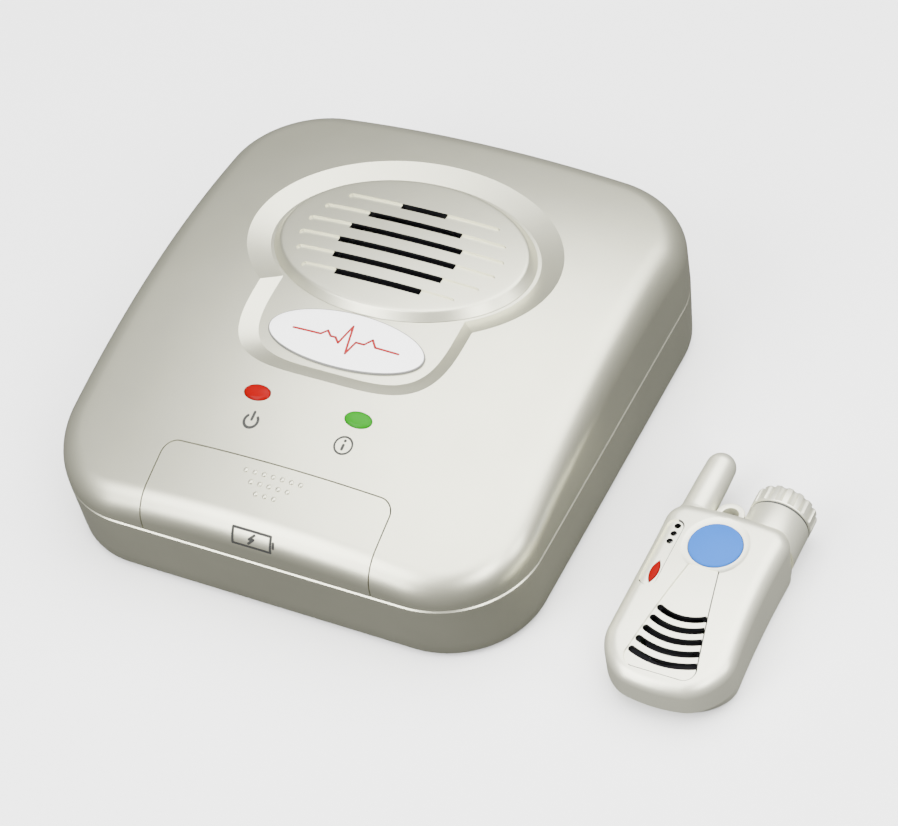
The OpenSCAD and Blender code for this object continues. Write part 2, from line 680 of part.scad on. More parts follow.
// Backup battery: three small cells in a wrap, in a walled bay with its own door underneath
pack_cells = 3;
pack_d = 10.5;
pack_l = 44.5;
pack_x = -50;
pack_y = -2;
pack_wall = 1.6;
pack_half_x = pack_cells * pack_d / 2;
pack_half_y = pack_l / 2;
bay_play = 0.4;
pack_door_t = 1.5;
pack_door_well = pack_door_t + 0.1;
pack_z = case_z + pack_door_t + play;
pack_screw = [pack_x, pack_y - pack_half_y - 6];
module pack_block(s, z0, z1) block([pack_x - pack_half_x - s, pack_y - pack_half_y - s, z0],
                                  [pack_x + pack_half_x + s, pack_y + pack_half_y + s, z1]);
module backup_battery() color([0.2, 0.35, 0.6]) at_base() for (i = [0 : pack_cells - 1])
    translate([pack_x + (i - (pack_cells - 1) / 2) * pack_d, pack_y - pack_half_y, pack_z + pack_d / 2])
        rotate([-90, 0, 0]) cylinder(d = pack_d - 0.02, h = pack_l);
module door_plate(s, z0, z1) block([pack_x - pack_half_x - s, pack_screw.y - 4 - s, z0],
                                  [pack_x + pack_half_x + s, pack_y + pack_half_y + s, z1]);
module battery_door() color(shell_colour) at_base() difference() {
    door_plate(0, case_z, case_z + pack_door_t);
    post(pack_screw, 1.5, case_z - over, case_z + wall + over);
    post(pack_screw, 2.7, case_z - over, case_z + 0.9);
}
module battery_door_screw() color(metal_colour) at_base() screw_up(pack_screw, case_z + 0.1, 2.4, 0.8, 1, 7);

// Lower case with its bosses, battery bay, foot wells and rear windows
foot_well = 1;
head_well = 3;
module case_prism(inset, z0, z1) translate([0, 0, z0]) linear_extrude(height = z1 - z0)
    polygon(base_outline(inset));
module lower_space() difference() {
    loft([level(base_outline(wall + draft), floor_z), level(base_outline(wall), seam_z + over)],
         [0, 0, floor_z], [0, 0, seam_z + over]);
    for (p = case_screws_at) post(p, boss_r, floor_z - over, seam_z);
    for (p = board_bolts) post(p, small_boss_r, floor_z - over, board_z);
    pack_block(bay_play + pack_wall, floor_z - over, pack_z + pack_d);
    post(pack_screw, small_boss_r, floor_z - over, floor_z + 8);
}
module lower_case() color(shell_colour) at_base() {
    difference() {
        loft([level(base_outline(draft), case_z), level(base_outline(0), seam_z)],
             [0, 0, case_z], [0, 0, seam_z]);
        lower_space();
        pack_block(bay_play, case_z - over, pack_z + pack_d + over);
        door_plate(bay_play, case_z - over, case_z + pack_door_well);
        post(pack_screw, pilot_r, case_z, floor_z + 7);
        for (p = case_screws_at) post(p, pilot_r + play * 3, case_z - over, seam_z + over);
        for (p = case_screws_at) post(p, boss_r - 1, case_z - over, case_z + head_well);
        for (p = board_bolts) post(p, pilot_r, floor_z - wall / 2, board_z + over);
        for (p = feet_at) post(p, foot_r + play, case_z - over, case_z + foot_well);
        for (x = [line_x, phone_x]) block([x - jack_w / 2 - play, half_d - 3 * wall, board_top - play],
                                          [x + jack_w / 2 + play, half_d + over, board_top + jack_h + play]);
        block([power_x - power_w / 2 - play, half_d - 3 * wall, board_top - play],
              [power_x + power_w / 2 + play, half_d + over, board_top + power_h + play]);
    }
    difference() {
        union() {
            case_prism(wall - 0.2, seam_z - 3, seam_z - over);
            case_prism(wall + lip_clear, seam_z - 3, cover_z + lip_h);
        }
        case_prism(wall + lip_clear + lip_w, seam_z - 3 - over, cover_z + lip_h + over);
        block([-rail_x - rail_w - over, front_y, seam_z - 3 - over],
              [rail_x + rail_w + over, front_y + 3 * wall, cover_z + lip_h + over]);
        block([line_x - jack_w / 2 - play, half_d - 3 * wall, seam_z - 3 - over],
              [power_x + power_w / 2 + play, half_d, board_top + jack_h + play]);
    }
}
module case_screws() color(metal_colour) at_base()
    for (p = case_screws_at) screw_up(p, case_z + head_well - 1.6, 2.6, 1.6, pilot_r - play / 2, lower_h + 4);
module rubber_feet() color(black_colour) at_base() for (p = feet_at) post(p, foot_r, 0, case_z + foot_well);

// Pendant: two shells, split low on the side
button_c = [0, button_y];
screw_places = [[12.6, -16.8], [-9.4, 21.6], [-12.2, -17.4]];
pend_boss_r = 2.2;
pend_pilot_r = 0.7;
pend_screw_in = 5;
strip_x = -13.2;
strip_y = 8;
strip_half = 12;
strip_w = 5.2;
strip_depth = 0.5;
mic_x = -12.7;
mic_y = 15.2;
mic_pitch = 2.85;
mic_hole_r = 0.95;
leaf_c = [-12.5, 1.2];
leaf_l = 8.2;
leaf_w = 2.6;
panel_top = 6.5;
panel_low = -28;
panel_top_half = 4.4;
panel_low_half = 10.4;
panel_depth = 0.5;
panel_r = 3.5;
voice_rows = 5;
voice_pitch = 3.5;
voice_first = -10.8;
voice_w = 1.9;
voice_sag = 2;
voice_short = 0.2;
voice_c = [0, -15.4];
voice_r = 7.6;
voice_ring = 1.2;
halo_r = 9.6;
halo_depth = 0.3;
halo_slope = 1.1;
antenna_at = [-antenna_x, pend_end(antenna_x), antenna_z];
neck_at = [neck_x, pend_end(neck_x), neck_z];
tube_r = cell_d / 2 + 0.8;
// How far the wide neck reaches into the body
neck_in = 4.2;
tube_back = neck_at.y - neck_in;
// Length of the antenna's and the eye's roots inside the top wall, and the step where the antenna narrows
root_l = 4;
root_step = 0.6;
eye_z = antenna_z - eye_t / 2 - 1.4;
// Half width of the eye's stem, a step narrower than its ring
eye_stem = eye_r + eye_ring - 0.5;

module along_y(at, y0, y1, r, r1 = -1) translate([at.x, y0, at.z]) rotate([-90, 0, 0])
    cylinder(r1 = r, r2 = r1 < 0 ? r : r1, h = y1 - y0);
module pendant_dome(inset = 0) dome(pendant_edge, pendant_face, inset > 0 ? pend_seam - over : pend_seam,
                                    face_r - inset, inset, inset);
// Pointed oval made by two equal arcs
module leaf(l, w) {
    r = (l * l + w * w) / (4 * w);
    intersection_for (s = [-1, 1]) translate([s * (r - w / 2), 0]) circle(r = r, $fn = 96);
}
// Half width of the sunk panel at a distance along the pendant
function panel_half(y) = middle_of(panel_top_half, panel_low_half,
                                   (panel_top - y) / (panel_top - panel_low - panel_r));
// Curved sound slot, lowest in its middle, as wide as the panel
module smile(i) {
    half = panel_half(voice_first - i * voice_pitch + voice_sag) - voice_short;
    r = (half * half + voice_sag * voice_sag) / (2 * voice_sag);
    spread = asin(half / r);
    translate([0, voice_first - i * voice_pitch + r, pend_h / 2]) rotate(270 - spread)
        rotate_extrude(angle = 2 * spread, $fn = 96) translate([r - voice_w / 2, 0]) square([voice_w, pend_h]);
}
// Points down the left side of the sunk panel and round its low corner
panel_steps = 8;
panel_side = let (shoulder = panel_low + panel_r) concat(
    [for (k = [0 : panel_steps - 1])
        middle_of([-panel_top_half, panel_top], [-panel_low_half, shoulder], k / panel_steps)],
    [for (a = [180 : 18 : 270]) [panel_r - panel_low_half, shoulder] + panel_r * [cos(a), sin(a)]]);
module panel_cut() {
    n = len(panel_side);
    outline = concat(panel_side, [for (i = [n - 1 : -1 : 0]) [-panel_side[i].x, panel_side[i].y]]);
    patch(outline, [0, (panel_top + panel_low) / 2], pendant_face, -panel_depth, 2 * over);
}
module strip_cut() difference() {
    translate([strip_x, strip_y, pend_h / 2]) rotate(90) linear_extrude(height = pend_h)
        stadium(strip_half, strip_w);
    pendant_dome(strip_depth);
}
module pendant_space() difference() {
    pendant_dome(pend_wall);
    for (p = screw_places) post(p, pend_boss_r, pend_seam - 2 * over, face(p));
    difference() {
        post(voice_c, voice_r + voice_ring, face(voice_c) - 5, pend_h);
        post(voice_c, voice_r + play, face(voice_c) - 6, pend_h + over);
    }
}
module pendant_front() color(pendant_colour) at_pendant() difference() {
    pendant_dome();
    pendant_space();
    strip_cut();
    panel_cut();
    for (i = [0 : voice_rows - 1]) smile(i);
    translate([0, button_y, face(button_c) - halo_depth])
        cylinder(r1 = halo_r - halo_slope, r2 = halo_r + halo_slope, h = 2 * halo_depth);
    post(button_c, button_r + 0.1, pend_h / 2, pend_h + 3);
    for (i = [-1 : 1]) post([mic_x, mic_y + i * mic_pitch], mic_hole_r, pend_h / 2, pend_h + 3);
    translate([leaf_c.x, leaf_c.y, pend_h / 2]) linear_extrude(height = pend_h) leaf(leaf_l, leaf_w);
    for (p = screw_places) post(p, pend_pilot_r, pend_seam - over, pend_seam + 7);
    along_y(antenna_at, antenna_at.y - root_l - play, pend_top + over, antenna_r - root_step + play);
    along_y(antenna_at, antenna_at.y, pend_top + over, collar_r + collar_play);
    along_y(neck_at, tube_back - play, pend_top + over, neck_r + play);
    along_y(neck_at, tube_y0 - play, tube_back, tube_r + play);
    block([-eye_x - eye_stem - play, pend_top - root_l - play, eye_z - play],
          [-eye_x + eye_stem + play, pend_top + over, eye_z + eye_t + play]);
}

back_inset = 0.35;
back_gap = 0.25;
back_lean = 1.2;
back_post_r = 1.5;
back_top = pend_seam - back_gap;
// How far the underside is drawn in at the speaker end
back_tuck = 4;
function tucked(points, share) = [for (p = points)
    [p.x, p.y + share * back_tuck * pow(min(0, p.y) / (pend_l / 2), 2)]];
module back_space() difference() {
    loft([level(tucked(pendant_outline(pend_wall + back_lean), 0.75), pend_wall),
          level(pendant_outline(pend_wall + back_inset), pend_seam)], [0, 0, pend_wall], [0, 0, pend_seam]);
    for (p = screw_places) post(p, pend_boss_r, 0, pend_seam);
    for (p = board_posts) post(p, back_post_r, 0, pend_seam + over);
}
module pendant_back() color(pendant_colour) at_pendant() {
    difference() {
        loft([level(tucked(pendant_outline(2.4), 1), 0), level(tucked(pendant_outline(1.1), 0.75), 0.6),
              level(tucked(pendant_outline(back_inset), 0.45), 2.2),
              level(pendant_outline(back_inset), back_top)],
             [0, 0, 0], [0, 0, back_top]);
        back_space();
        for (p = screw_places) post(p, pend_pilot_r + 0.3, -over, pend_seam + over);
        for (p = screw_places) post(p, 1.7, -over, 1.3);
        along_y(neck_at, tube_back - play, pend_top + over, neck_r + play);
    }
    for (p = board_posts) post(p, back_post_r, pend_wall / 2, pend_board_z);
}

// Pendant board with its switch, parts, lamp and microphone
pend_board_z = pend_h - 10;
pend_board_t = 1.2;
pend_board_top = pend_board_z + pend_board_t;
pend_board_x = [-15, neck_x - tube_r - 0.5];
pend_board_y = [-14.5, 18.6];
board_posts = [[-12.5, -12], [-1, -12], [-12.5, 9]];
switch_half = 2.9;
switch_h = 2.6;
plunger_r = 1.4;
flange_t = 0.6;
flange_w = 0.8;
flange_gap = 0.25;
button_low = face(button_c) - pend_wall - flange_gap - flange_t;
plunger_low = pend_board_top + 0.4 + button_travel;
module pendant_board() color(board_colour) at_pendant()
    block([pend_board_x[0], pend_board_y[0], pend_board_z], [pend_board_x[1], pend_board_y[1], pend_board_top]);
module pendant_parts() color(black_colour) at_pendant() {
    block([-9, -6, pend_board_top], [0, 3, pend_board_top + 1.2]);
    block([-10, -8, pend_board_z - 1.5], [-2, 2, pend_board_z]);
    block([leaf_c.x - 1, leaf_c.y - 1.4, pend_board_top], [leaf_c.x + 1, leaf_c.y + 1.4, pend_board_top + 2]);
}
module alert_switch() color(black_colour) at_pendant() difference() {
    block([-switch_half, button_y - switch_half, pend_board_top],
          [switch_half, button_y + switch_half, pend_board_top + switch_h]);
    post(button_c, plunger_r + running, pend_board_top + 0.3, pend_board_top + switch_h + over);
}
module switch_plunger() color([0.8, 0.8, 0.8]) at_pendant() post(button_c, plunger_r, plunger_low, button_low);
module alert_button() color([0.42, 0.62, 0.88]) at_pendant() translate([0, button_y, 0]) {
    top = face(button_c) + button_proud;
    dome_h = 0.7;
    round_r = 0.5;
    rotate_extrude() polygon(concat([[0, button_low], [button_r + flange_w, button_low],
        [button_r + flange_w, button_low + flange_t], [button_r, button_low + flange_t],
        [button_r, top - dome_h - round_r]],
        [for (i = [0 : 6]) let (x = (button_r - round_r) * cos(15 * i))
            [x, top - dome_h * pow(x / button_r, 2)]]));
}
module indicator_lens() color("red") at_pendant() {
    low = face(leaf_c) - pend_wall - 2.6;
    translate([leaf_c.x, leaf_c.y, low]) {
        linear_extrude(height = face(leaf_c) - low - 0.1) leaf(leaf_l - 4 * play, leaf_w - 2 * play);
        translate([0.6, 0, 0]) linear_extrude(height = 1) square([leaf_w + 0.6, leaf_l], center = true);
    }
}
module microphone() color(metal_colour) at_pendant()
    post([mic_x + 0.8, mic_y], 2.2, pend_board_top, face(button_c) - pend_wall - 1.6);
mesh_t = 0.3;
mesh_low = face(voice_c - [0, voice_r]) - pend_wall - play - mesh_t;
voice_h = 3;
voice_dish = 0.5;
voice_rim = 1;
module voice_speaker() color([0.3, 0.3, 0.32]) at_pendant() difference() {
    z = mesh_low - mesh_t / 6;
    post(voice_c, voice_r, z - voice_h, z);
    post(voice_c, voice_r - voice_rim, z - voice_dish, z + over);
}
// The cloth is a disc inside the speaker's ring and a curved piece outside it, under the ends of the slots
cloth_over = 0.5;
cloth_top = voice_first + voice_sag + voice_w;
cloth_low = voice_first - (voice_rows - 1) * voice_pitch - voice_w / 2 - cloth_over;
cloth_turn = cloth_low + voice_sag + voice_w / 2;
cloth_side = [for (y = [cloth_top, voice_c.y, cloth_turn]) [-panel_half(y) - cloth_over, y]];
cloth_edge = concat(cloth_side, [[-panel_half(cloth_low) / 2, cloth_low], [panel_half(cloth_low) / 2, cloth_low]],
                    [for (i = [2 : -1 : 0]) [-cloth_side[i].x, cloth_side[i].y]]);
module speaker_mesh() color(black_colour) at_pendant() {
    post(voice_c, voice_r, mesh_low, mesh_low + mesh_t);
    difference() {
        patch(cloth_edge, voice_c, pendant_face, -pend_wall - play - mesh_t, -pend_wall - play);
        post(voice_c, voice_r + voice_ring + play, 0, 2 * pend_h);
    }
}

// Antenna: a rounded cover over a wire that ends at the board's edge
collar_l = 2.2;
collar_r = antenna_r + 0.15;
collar_play = 0.05;
tip_r = 4.4;
// Solder gap between the wire and the edge of the board
wire_gap = 0.05;
module antenna_cover() color(pendant_colour) at_pendant() translate([antenna_at.x, antenna_at.y, antenna_at.z])
    rotate([-90, 0, 0]) difference() {
        rotate_extrude() polygon(concat(
            [[0, -root_l], [antenna_r - root_step, -root_l], [antenna_r - root_step, play],
             [collar_r, play], [collar_r, collar_l], [antenna_r - 0.1, collar_l + 0.15]],
            [for (a = [0 : 10 : 80]) [tip_r * cos(a), antenna_l - tip_r + tip_r * sin(a) / sin(80)]],
            [[0, antenna_l]]));
        translate([0, 0, -root_l - over]) cylinder(r = 0.9, h = antenna_l + root_l - 4);
    }
module antenna_wire() color([0.8, 0.6, 0.35]) at_pendant()
    along_y(antenna_at, pend_board_y[1] + wire_gap, antenna_at.y + antenna_l - 6, 0.6);

// Battery tube with a wide neck, its cell, and the cap that screws into the neck
plug_r = neck_r - 1.5;
plug_spare = 0.5;
plug_l = cap_lead * cap_turns + plug_spare;
neck_end = neck_at.y + neck_l;
seal_t = 0.6;
cap_y = neck_end + seal_t + 0.05;
cell_y1 = neck_at.y - 1.8;
cell_y0 = cell_y1 - cell_l;
tube_y0 = cell_y0 - 2.4;
module battery_tube() color(pendant_colour) at_pendant() difference() {
    union() {
        along_y(neck_at, tube_y0, tube_back + over, tube_r);
        along_y(neck_at, tube_back, neck_end, neck_r);
    }
    along_y(neck_at, tube_y0 + 1, neck_end + over, cell_d / 2 + play);
    along_y(neck_at, neck_end - plug_l - 0.6, neck_end + over, plug_r + running);
}
module pendant_cell() color([0.25, 0.4, 0.65]) at_pendant() {
    along_y(neck_at, cell_y0, cell_y1 - 1, cell_d / 2);
    along_y(neck_at, cell_y1 - 1 - over, cell_y1, 2.4);
}
module cell_contact() color([0.8, 0.68, 0.35]) at_pendant() along_y(neck_at, tube_y0 + 1, cell_y0, 3.6);
module cap_seal() color(black_colour) at_pendant() difference() {
    along_y(neck_at, neck_end, neck_end + seal_t, neck_r - 0.3);
    along_y(neck_at, neck_end - over, neck_end + seal_t + over, plug_r + 0.3);
}
cap_r = neck_r + 0.1;
flute_r = 1.1;
flute_out = 0.4;
flute_from = 0.6;
bevel = 0.8;
hollow_r = plug_r - 1.4;
disc_t = 0.8;
disc_seat = cap_y + 1;
module battery_cap() color(pendant_colour) at_pendant() difference() {
    union() {
        translate([neck_at.x, cap_y, neck_at.z]) rotate([-90, 0, 0]) rotate_extrude() polygon([
            [0, 0], [cap_r, 0], [cap_r, cap_l - bevel], [cap_r - bevel, cap_l], [0, cap_l]]);
        along_y(neck_at, cap_y - plug_l, cap_y + over, plug_r);
    }
    for (i = [0 : flutes - 1]) let (a = 360 * i / flutes)
        along_y(neck_at + (cap_r + flute_out) * [cos(a), 0, sin(a)], cap_y + flute_from, cap_y + cap_l + over,
                flute_r);
    along_y(neck_at, cap_y - plug_l - over, disc_seat, hollow_r);
}
module cap_contact() color([0.8, 0.68, 0.35]) at_pendant()
    along_y(neck_at, disc_seat - play - disc_t, disc_seat - play, hollow_r - running);
// Spring between the cap's disc and the cell: one unbroken coil
spring_turns = 4;
spring_r = 3.4;
spring_wire = 0.35;
spring_y0 = cell_y1 + play;
spring_y1 = disc_seat - play - disc_t;
spring_steps = spring_turns * 8;
function spring_point(t) = let (a = 360 * spring_turns * t)
    [spring_r * cos(a), middle_of(spring_y0 + spring_wire, spring_y1 - spring_wire, t), spring_r * sin(a)];
function spring_ring(t) = let (a = 360 * spring_turns * t, out = [cos(a), 0, sin(a)])
    [for (k = [0 : 5]) spring_point(t) + spring_wire * (cos(60 * k) * out + sin(60 * k) * [0, 1, 0])];
module contact_spring() color(metal_colour) at_pendant() translate([neck_at.x, 0, neck_at.z])
    loft([for (j = [spring_steps : -1 : 0]) spring_ring(j / spring_steps)], spring_point(1), spring_point(0));

module lanyard_eye() color(pendant_colour) at_pendant() translate([-eye_x, pend_top + eye_l, eye_z])
    difference() {
        linear_extrude(height = eye_t) union() {
            circle(r = eye_r + eye_ring);
            translate([-eye_stem, -eye_l - root_l]) square([2 * eye_stem, eye_l + root_l]);
        }
        translate([0, 0, -over]) cylinder(r = eye_r, h = eye_t + 2 * over);
    }
module pendant_screws() color(metal_colour) at_pendant()
    for (p = screw_places) screw_up(p, 0.3, 1.6, 0.9, pend_pilot_r - 0.05, pend_seam + pend_screw_in);

lower_case();
upper_cover();
charger_door();
speaker_grille();
badge_plate();
power_lens();
info_lens();
speaker_frame();
speaker_cone();
speaker_magnet();
speaker_screws();
main_board();
board_parts();
board_screws();
lamps();
line_jack();
phone_jack();
power_jack();
power_pin();
charger_tray();
charger_contacts();
backup_battery();
battery_door();
battery_door_screw();
case_screws();
rubber_feet();
pendant_front();
pendant_back();
alert_button();
switch_plunger();
alert_switch();
pendant_board();
pendant_parts();
indicator_lens();
microphone();
voice_speaker();
speaker_mesh();
antenna_cover();
antenna_wire();
battery_tube();
pendant_cell();
cell_contact();
cap_seal();
battery_cap();
cap_contact();
contact_spring();
lanyard_eye();
pendant_screws();
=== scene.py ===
"""Builds the looks of an emergency response set: a telephone base station and the voice pendant beside it."""

import math

import bmesh
import bpy
from bpy.props import FloatProperty, FloatVectorProperty, IntProperty, PointerProperty
from mathutils import Matrix, Vector


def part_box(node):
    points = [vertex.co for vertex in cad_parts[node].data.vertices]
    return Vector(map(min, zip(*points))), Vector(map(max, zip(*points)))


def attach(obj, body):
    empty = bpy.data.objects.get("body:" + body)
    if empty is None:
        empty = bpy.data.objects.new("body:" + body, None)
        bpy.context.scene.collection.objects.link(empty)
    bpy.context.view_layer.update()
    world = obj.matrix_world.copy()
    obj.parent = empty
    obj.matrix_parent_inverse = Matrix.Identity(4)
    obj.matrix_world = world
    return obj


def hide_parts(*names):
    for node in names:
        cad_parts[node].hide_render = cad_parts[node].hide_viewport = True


bl_info = {
    "name": "Emergency response set",
    "version": (1, 0, 0),
    "blender": (4, 5, 0),
    "location": "View3D > Sidebar > Response set",
    "description": "Builds the base station and the voice pendant of an emergency response set",
    "category": "Object",
}

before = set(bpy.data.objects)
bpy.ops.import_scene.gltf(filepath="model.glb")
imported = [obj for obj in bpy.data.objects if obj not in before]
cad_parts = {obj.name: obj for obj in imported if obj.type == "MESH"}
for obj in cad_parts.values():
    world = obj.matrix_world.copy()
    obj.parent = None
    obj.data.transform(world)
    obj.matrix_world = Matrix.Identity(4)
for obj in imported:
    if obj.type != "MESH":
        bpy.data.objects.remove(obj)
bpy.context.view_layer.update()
MM = 0.001
QUARTER = math.pi / 2
UP, ALONG = Vector((0, 0, 1)), Vector((0, 1, 0))

# Places that the frame gives
COVER_LOW, COVER_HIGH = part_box("upper_cover")
CASE_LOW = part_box("lower_case")[0]
BUTTON_LOW, BUTTON_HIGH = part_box("alert_button")
FRONT_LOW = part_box("pendant_front")[0]
CAP_LOW, CAP_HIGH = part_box("battery_cap")
TUBE_LOW, TUBE_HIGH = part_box("battery_tube")
ANTENNA_LOW, ANTENNA_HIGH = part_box("antenna_cover")
EYE_LOW, EYE_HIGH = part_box("lanyard_eye")
LEAF_LOW, LEAF_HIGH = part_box("indicator_lens")
BASE_AT = Vector(((COVER_LOW.x + COVER_HIGH.x) / 2, (COVER_LOW.y + COVER_HIGH.y) / 2, 0))


def length(name, description, millimetres):
    """A size, given in millimetres, that Blender shows in the scene's units."""
    return FloatProperty(name=name, description=description, default=millimetres * MM, unit="LENGTH",
                         precision=5)


def colour(name, description, red, green, blue):
    """A colour that a finish takes, as light values from 0 to 1."""
    return FloatVectorProperty(name=name, description=description, default=(red, green, blue),
                               subtype="COLOR", min=0, max=1)


class BaseSizes(bpy.types.PropertyGroup):
    """Sizes of the base station, from the middle of its case"""
    half_w: length("Half width", "Half the width of the case", (COVER_HIGH.x - COVER_LOW.x) / 2 / MM)
    half_d: length("Half depth", "Half the depth of the case", (COVER_HIGH.y - COVER_LOW.y) / 2 / MM)
    corner_r: length("Corner radius", "Plan radius of the case's corners", 28.7)
    edge_r: length("Edge roll", "Radius where the crown rolls over into the walls", 10)
    wall: length("Wall", "Thickness of the case's walls", 2.4)
    draft: length("Draft", "Inward lean of the lower case at its underside", 1)
    crown_edge: length("Crown edge", "Height of the crown's edge over the table", 32.55)
    rise_x: length("Rise across", "Rise of the crown across the width", 6.85)
    rise_y: length("Rise along", "Rise of the crown from front to back", 11.72)
    tilt: length("Tilt", "How much higher the back edge is than the middle", 6.12)
    recess: length("Recess depth", "Depth of the recess round the grille", 2.6)
    grille_y: length("Grille place", "Distance of the grille behind the middle", 23.7)
    grille_a: length("Grille half width", "Half width of the grille plate's top", 38.5)
    grille_b: length("Grille half depth", "Half depth of the grille plate's top", 25.75)
    dish_a: length("Recess reach across", "Reach of the recess beside the grille plate", 10.5)
    dish_b: length("Recess reach along", "Reach of the recess before the grille plate", 9.65)
    dish_slope: length("Recess slope", "Width of the recess's sloping side", 6.8)
    pocket_y: length("Pocket place", "Distance of the badge pocket behind the middle", 2)
    pocket_a: length("Pocket half width", "Half width of the badge pocket", 34.4)
    pocket_b: length("Pocket half depth", "Half depth of the badge pocket", 32)
    pocket_slope: length("Pocket slope", "Width of the pocket's sloping side", 4.8)
    badge_y: length("Badge place", "Distance of the badge before the middle", 14.2)
    badge_a: length("Badge half width", "Half width of the badge", 25)
    badge_b: length("Badge half depth", "Half depth of the badge", 9.5)
    badge_t: length("Badge thickness", "Thickness of the badge", 0.6)
    slot_w: length("Slot width", "Width of a grille slot", 2.2)
    slot_pitch: length("Slot pitch", "Distance between grille slots", 6.08)
    slot_half: length("Slot half length", "Half length of the longest grille slot", 32.5)
    slots_front: length("Slots forward", "How far the slots sit before the grille's middle", 1.7)
    slot_margin: length("Slot margin", "Distance of a slot's end from the grille's edge", 6.3)
    sound_y: length("Sound hole place", "Distance of the sound hole behind the middle", 19.7)
    sound_r: length("Sound hole", "Radius of the hole under the grille", 19)
    lens_x: length("Lens spacing", "Half distance between the two lenses", 16.2)
    lens_y: length("Lens place", "Distance of the lenses before the middle", 38.5)
    lens_a: length("Lens half width", "Half width of a lens", 4.3)
    lens_b: length("Lens half depth", "Half depth of a lens", 2.6)
    lens_proud: length("Lens height", "How far a lens stands proud", 0.9)
    door_half: length("Door half width", "Half width of the charger door", 36.6)
    door_depth: length("Door depth", "Distance of the door's back edge from the front", 21)
    door_r: length("Door corner", "Radius of the door's back corners", 4.5)
    door_gap: length("Door gap", "Open line round the door", 0.3)
    dot_pitch: length("Dot pitch", "Distance between grip dots", 2.9)
    dot_r: length("Dot radius", "Radius of a grip dot", 0.8)


class PendantSizes(bpy.types.PropertyGroup):
    """Sizes of the pendant, from the middle of its body"""
    half_w: length("Half width", "Half the width of the body before its waist", 18)
    half_l: length("Half length", "Half the length of the body before its ends bulge", 27.5)
    height: length("Height", "Height at the sides of the face", 19.4)
    rise: length("Face rise", "Rise of the middle of the face", 0.5)
    fall: length("Face fall", "How far the face falls towards the speaker end", 5.6)
    fall_from: length("Fall start", "Where the face starts to fall", 8)
    seam: length("Seam height", "Height of the seam between the two shells", FRONT_LOW.z / MM)
    wall: length("Wall", "Thickness of the shells", 1.6)
    face_r: length("Face roll", "Radius of the face's edge", 4.5)
    top_r: length("Top corners", "Radius of the corners at the button end", 6)
    low_r: length("Low corners", "Radius of the corners at the speaker end", 10.5)
    low_bulge: length("Low bulge", "Bulge of the speaker end", 4.5)
    top_bulge: length("Top bulge", "Bulge of the button end", 1)
    button_r: length("Button radius", "Radius of the alert button", 7.6)
    button_y: length("Button place", "Distance of the button from the middle", 14.6)
    strip_x: length("Strip place", "Distance of the sunk strip from the middle line", -13.2)
    strip_y: length("Strip middle", "Distance of the strip's middle from the body's", 8)
    strip_half: length("Strip half length", "Half length of the sunk strip", 12)
    strip_w: length("Strip width", "Width of the sunk strip", 5.2)
    panel_top: length("Panel top", "Where the sunk panel starts under the button", 6.5)
    panel_low: length("Panel low end", "Where the sunk panel ends", -28)
    panel_top_half: length("Panel top half", "Half width of the panel at its top", 4.4)
    panel_low_half: length("Panel low half", "Half width of the panel at its low end", 10.4)
    panel_r: length("Panel corner", "Radius of the panel's low corners", 3.5)
    panel_depth: length("Panel depth", "Depth of the sunk panel in its middle", 0.5)
    strip_depth: length("Strip depth", "Depth of the strip with the microphone holes", 0.5)
    line_w: length("Line width", "Width of the fine gaps round the strip and the panel", 0.32)
    line_depth: length("Line depth", "Depth of the fine gaps under the face", 1.1)
    voice_first: length("First voice slot", "Where the first voice slot is lowest", -10.8)
    voice_pitch: length("Voice pitch", "Distance between voice slots", 3.5)
    voice_sag: length("Voice sag", "How far a voice slot hangs in its middle", 2)
    voice_w: length("Voice width", "Width of a voice slot", 1.9)
    voice_rows: IntProperty(name="Voice slots", description="Number of voice slots", default=5, min=1)
    mic_x: length("Microphone place", "Distance of the microphone holes from the middle line", -12.7)
    mic_y: length("Microphone middle", "Distance of the middle hole from the body's middle", 15.2)
    mic_pitch: length("Microphone pitch", "Distance between microphone holes", 2.85)
    mic_r: length("Microphone hole", "Radius of a microphone hole", 0.95)
    leaf_l: length("Leaf length", "Length of the leaf-shaped lens opening", 8.2)
    leaf_w: length("Leaf width", "Width of the leaf-shaped lens opening", 2.6)
    flutes: IntProperty(name="Flutes", description="Number of flutes round the battery cap", default=16,
                        min=3)
    flute_r: length("Flute radius", "Radius of a flute", 1.1)
    flute_from: length("Flute start", "Distance of the flutes from the cap's foot", 0.6)


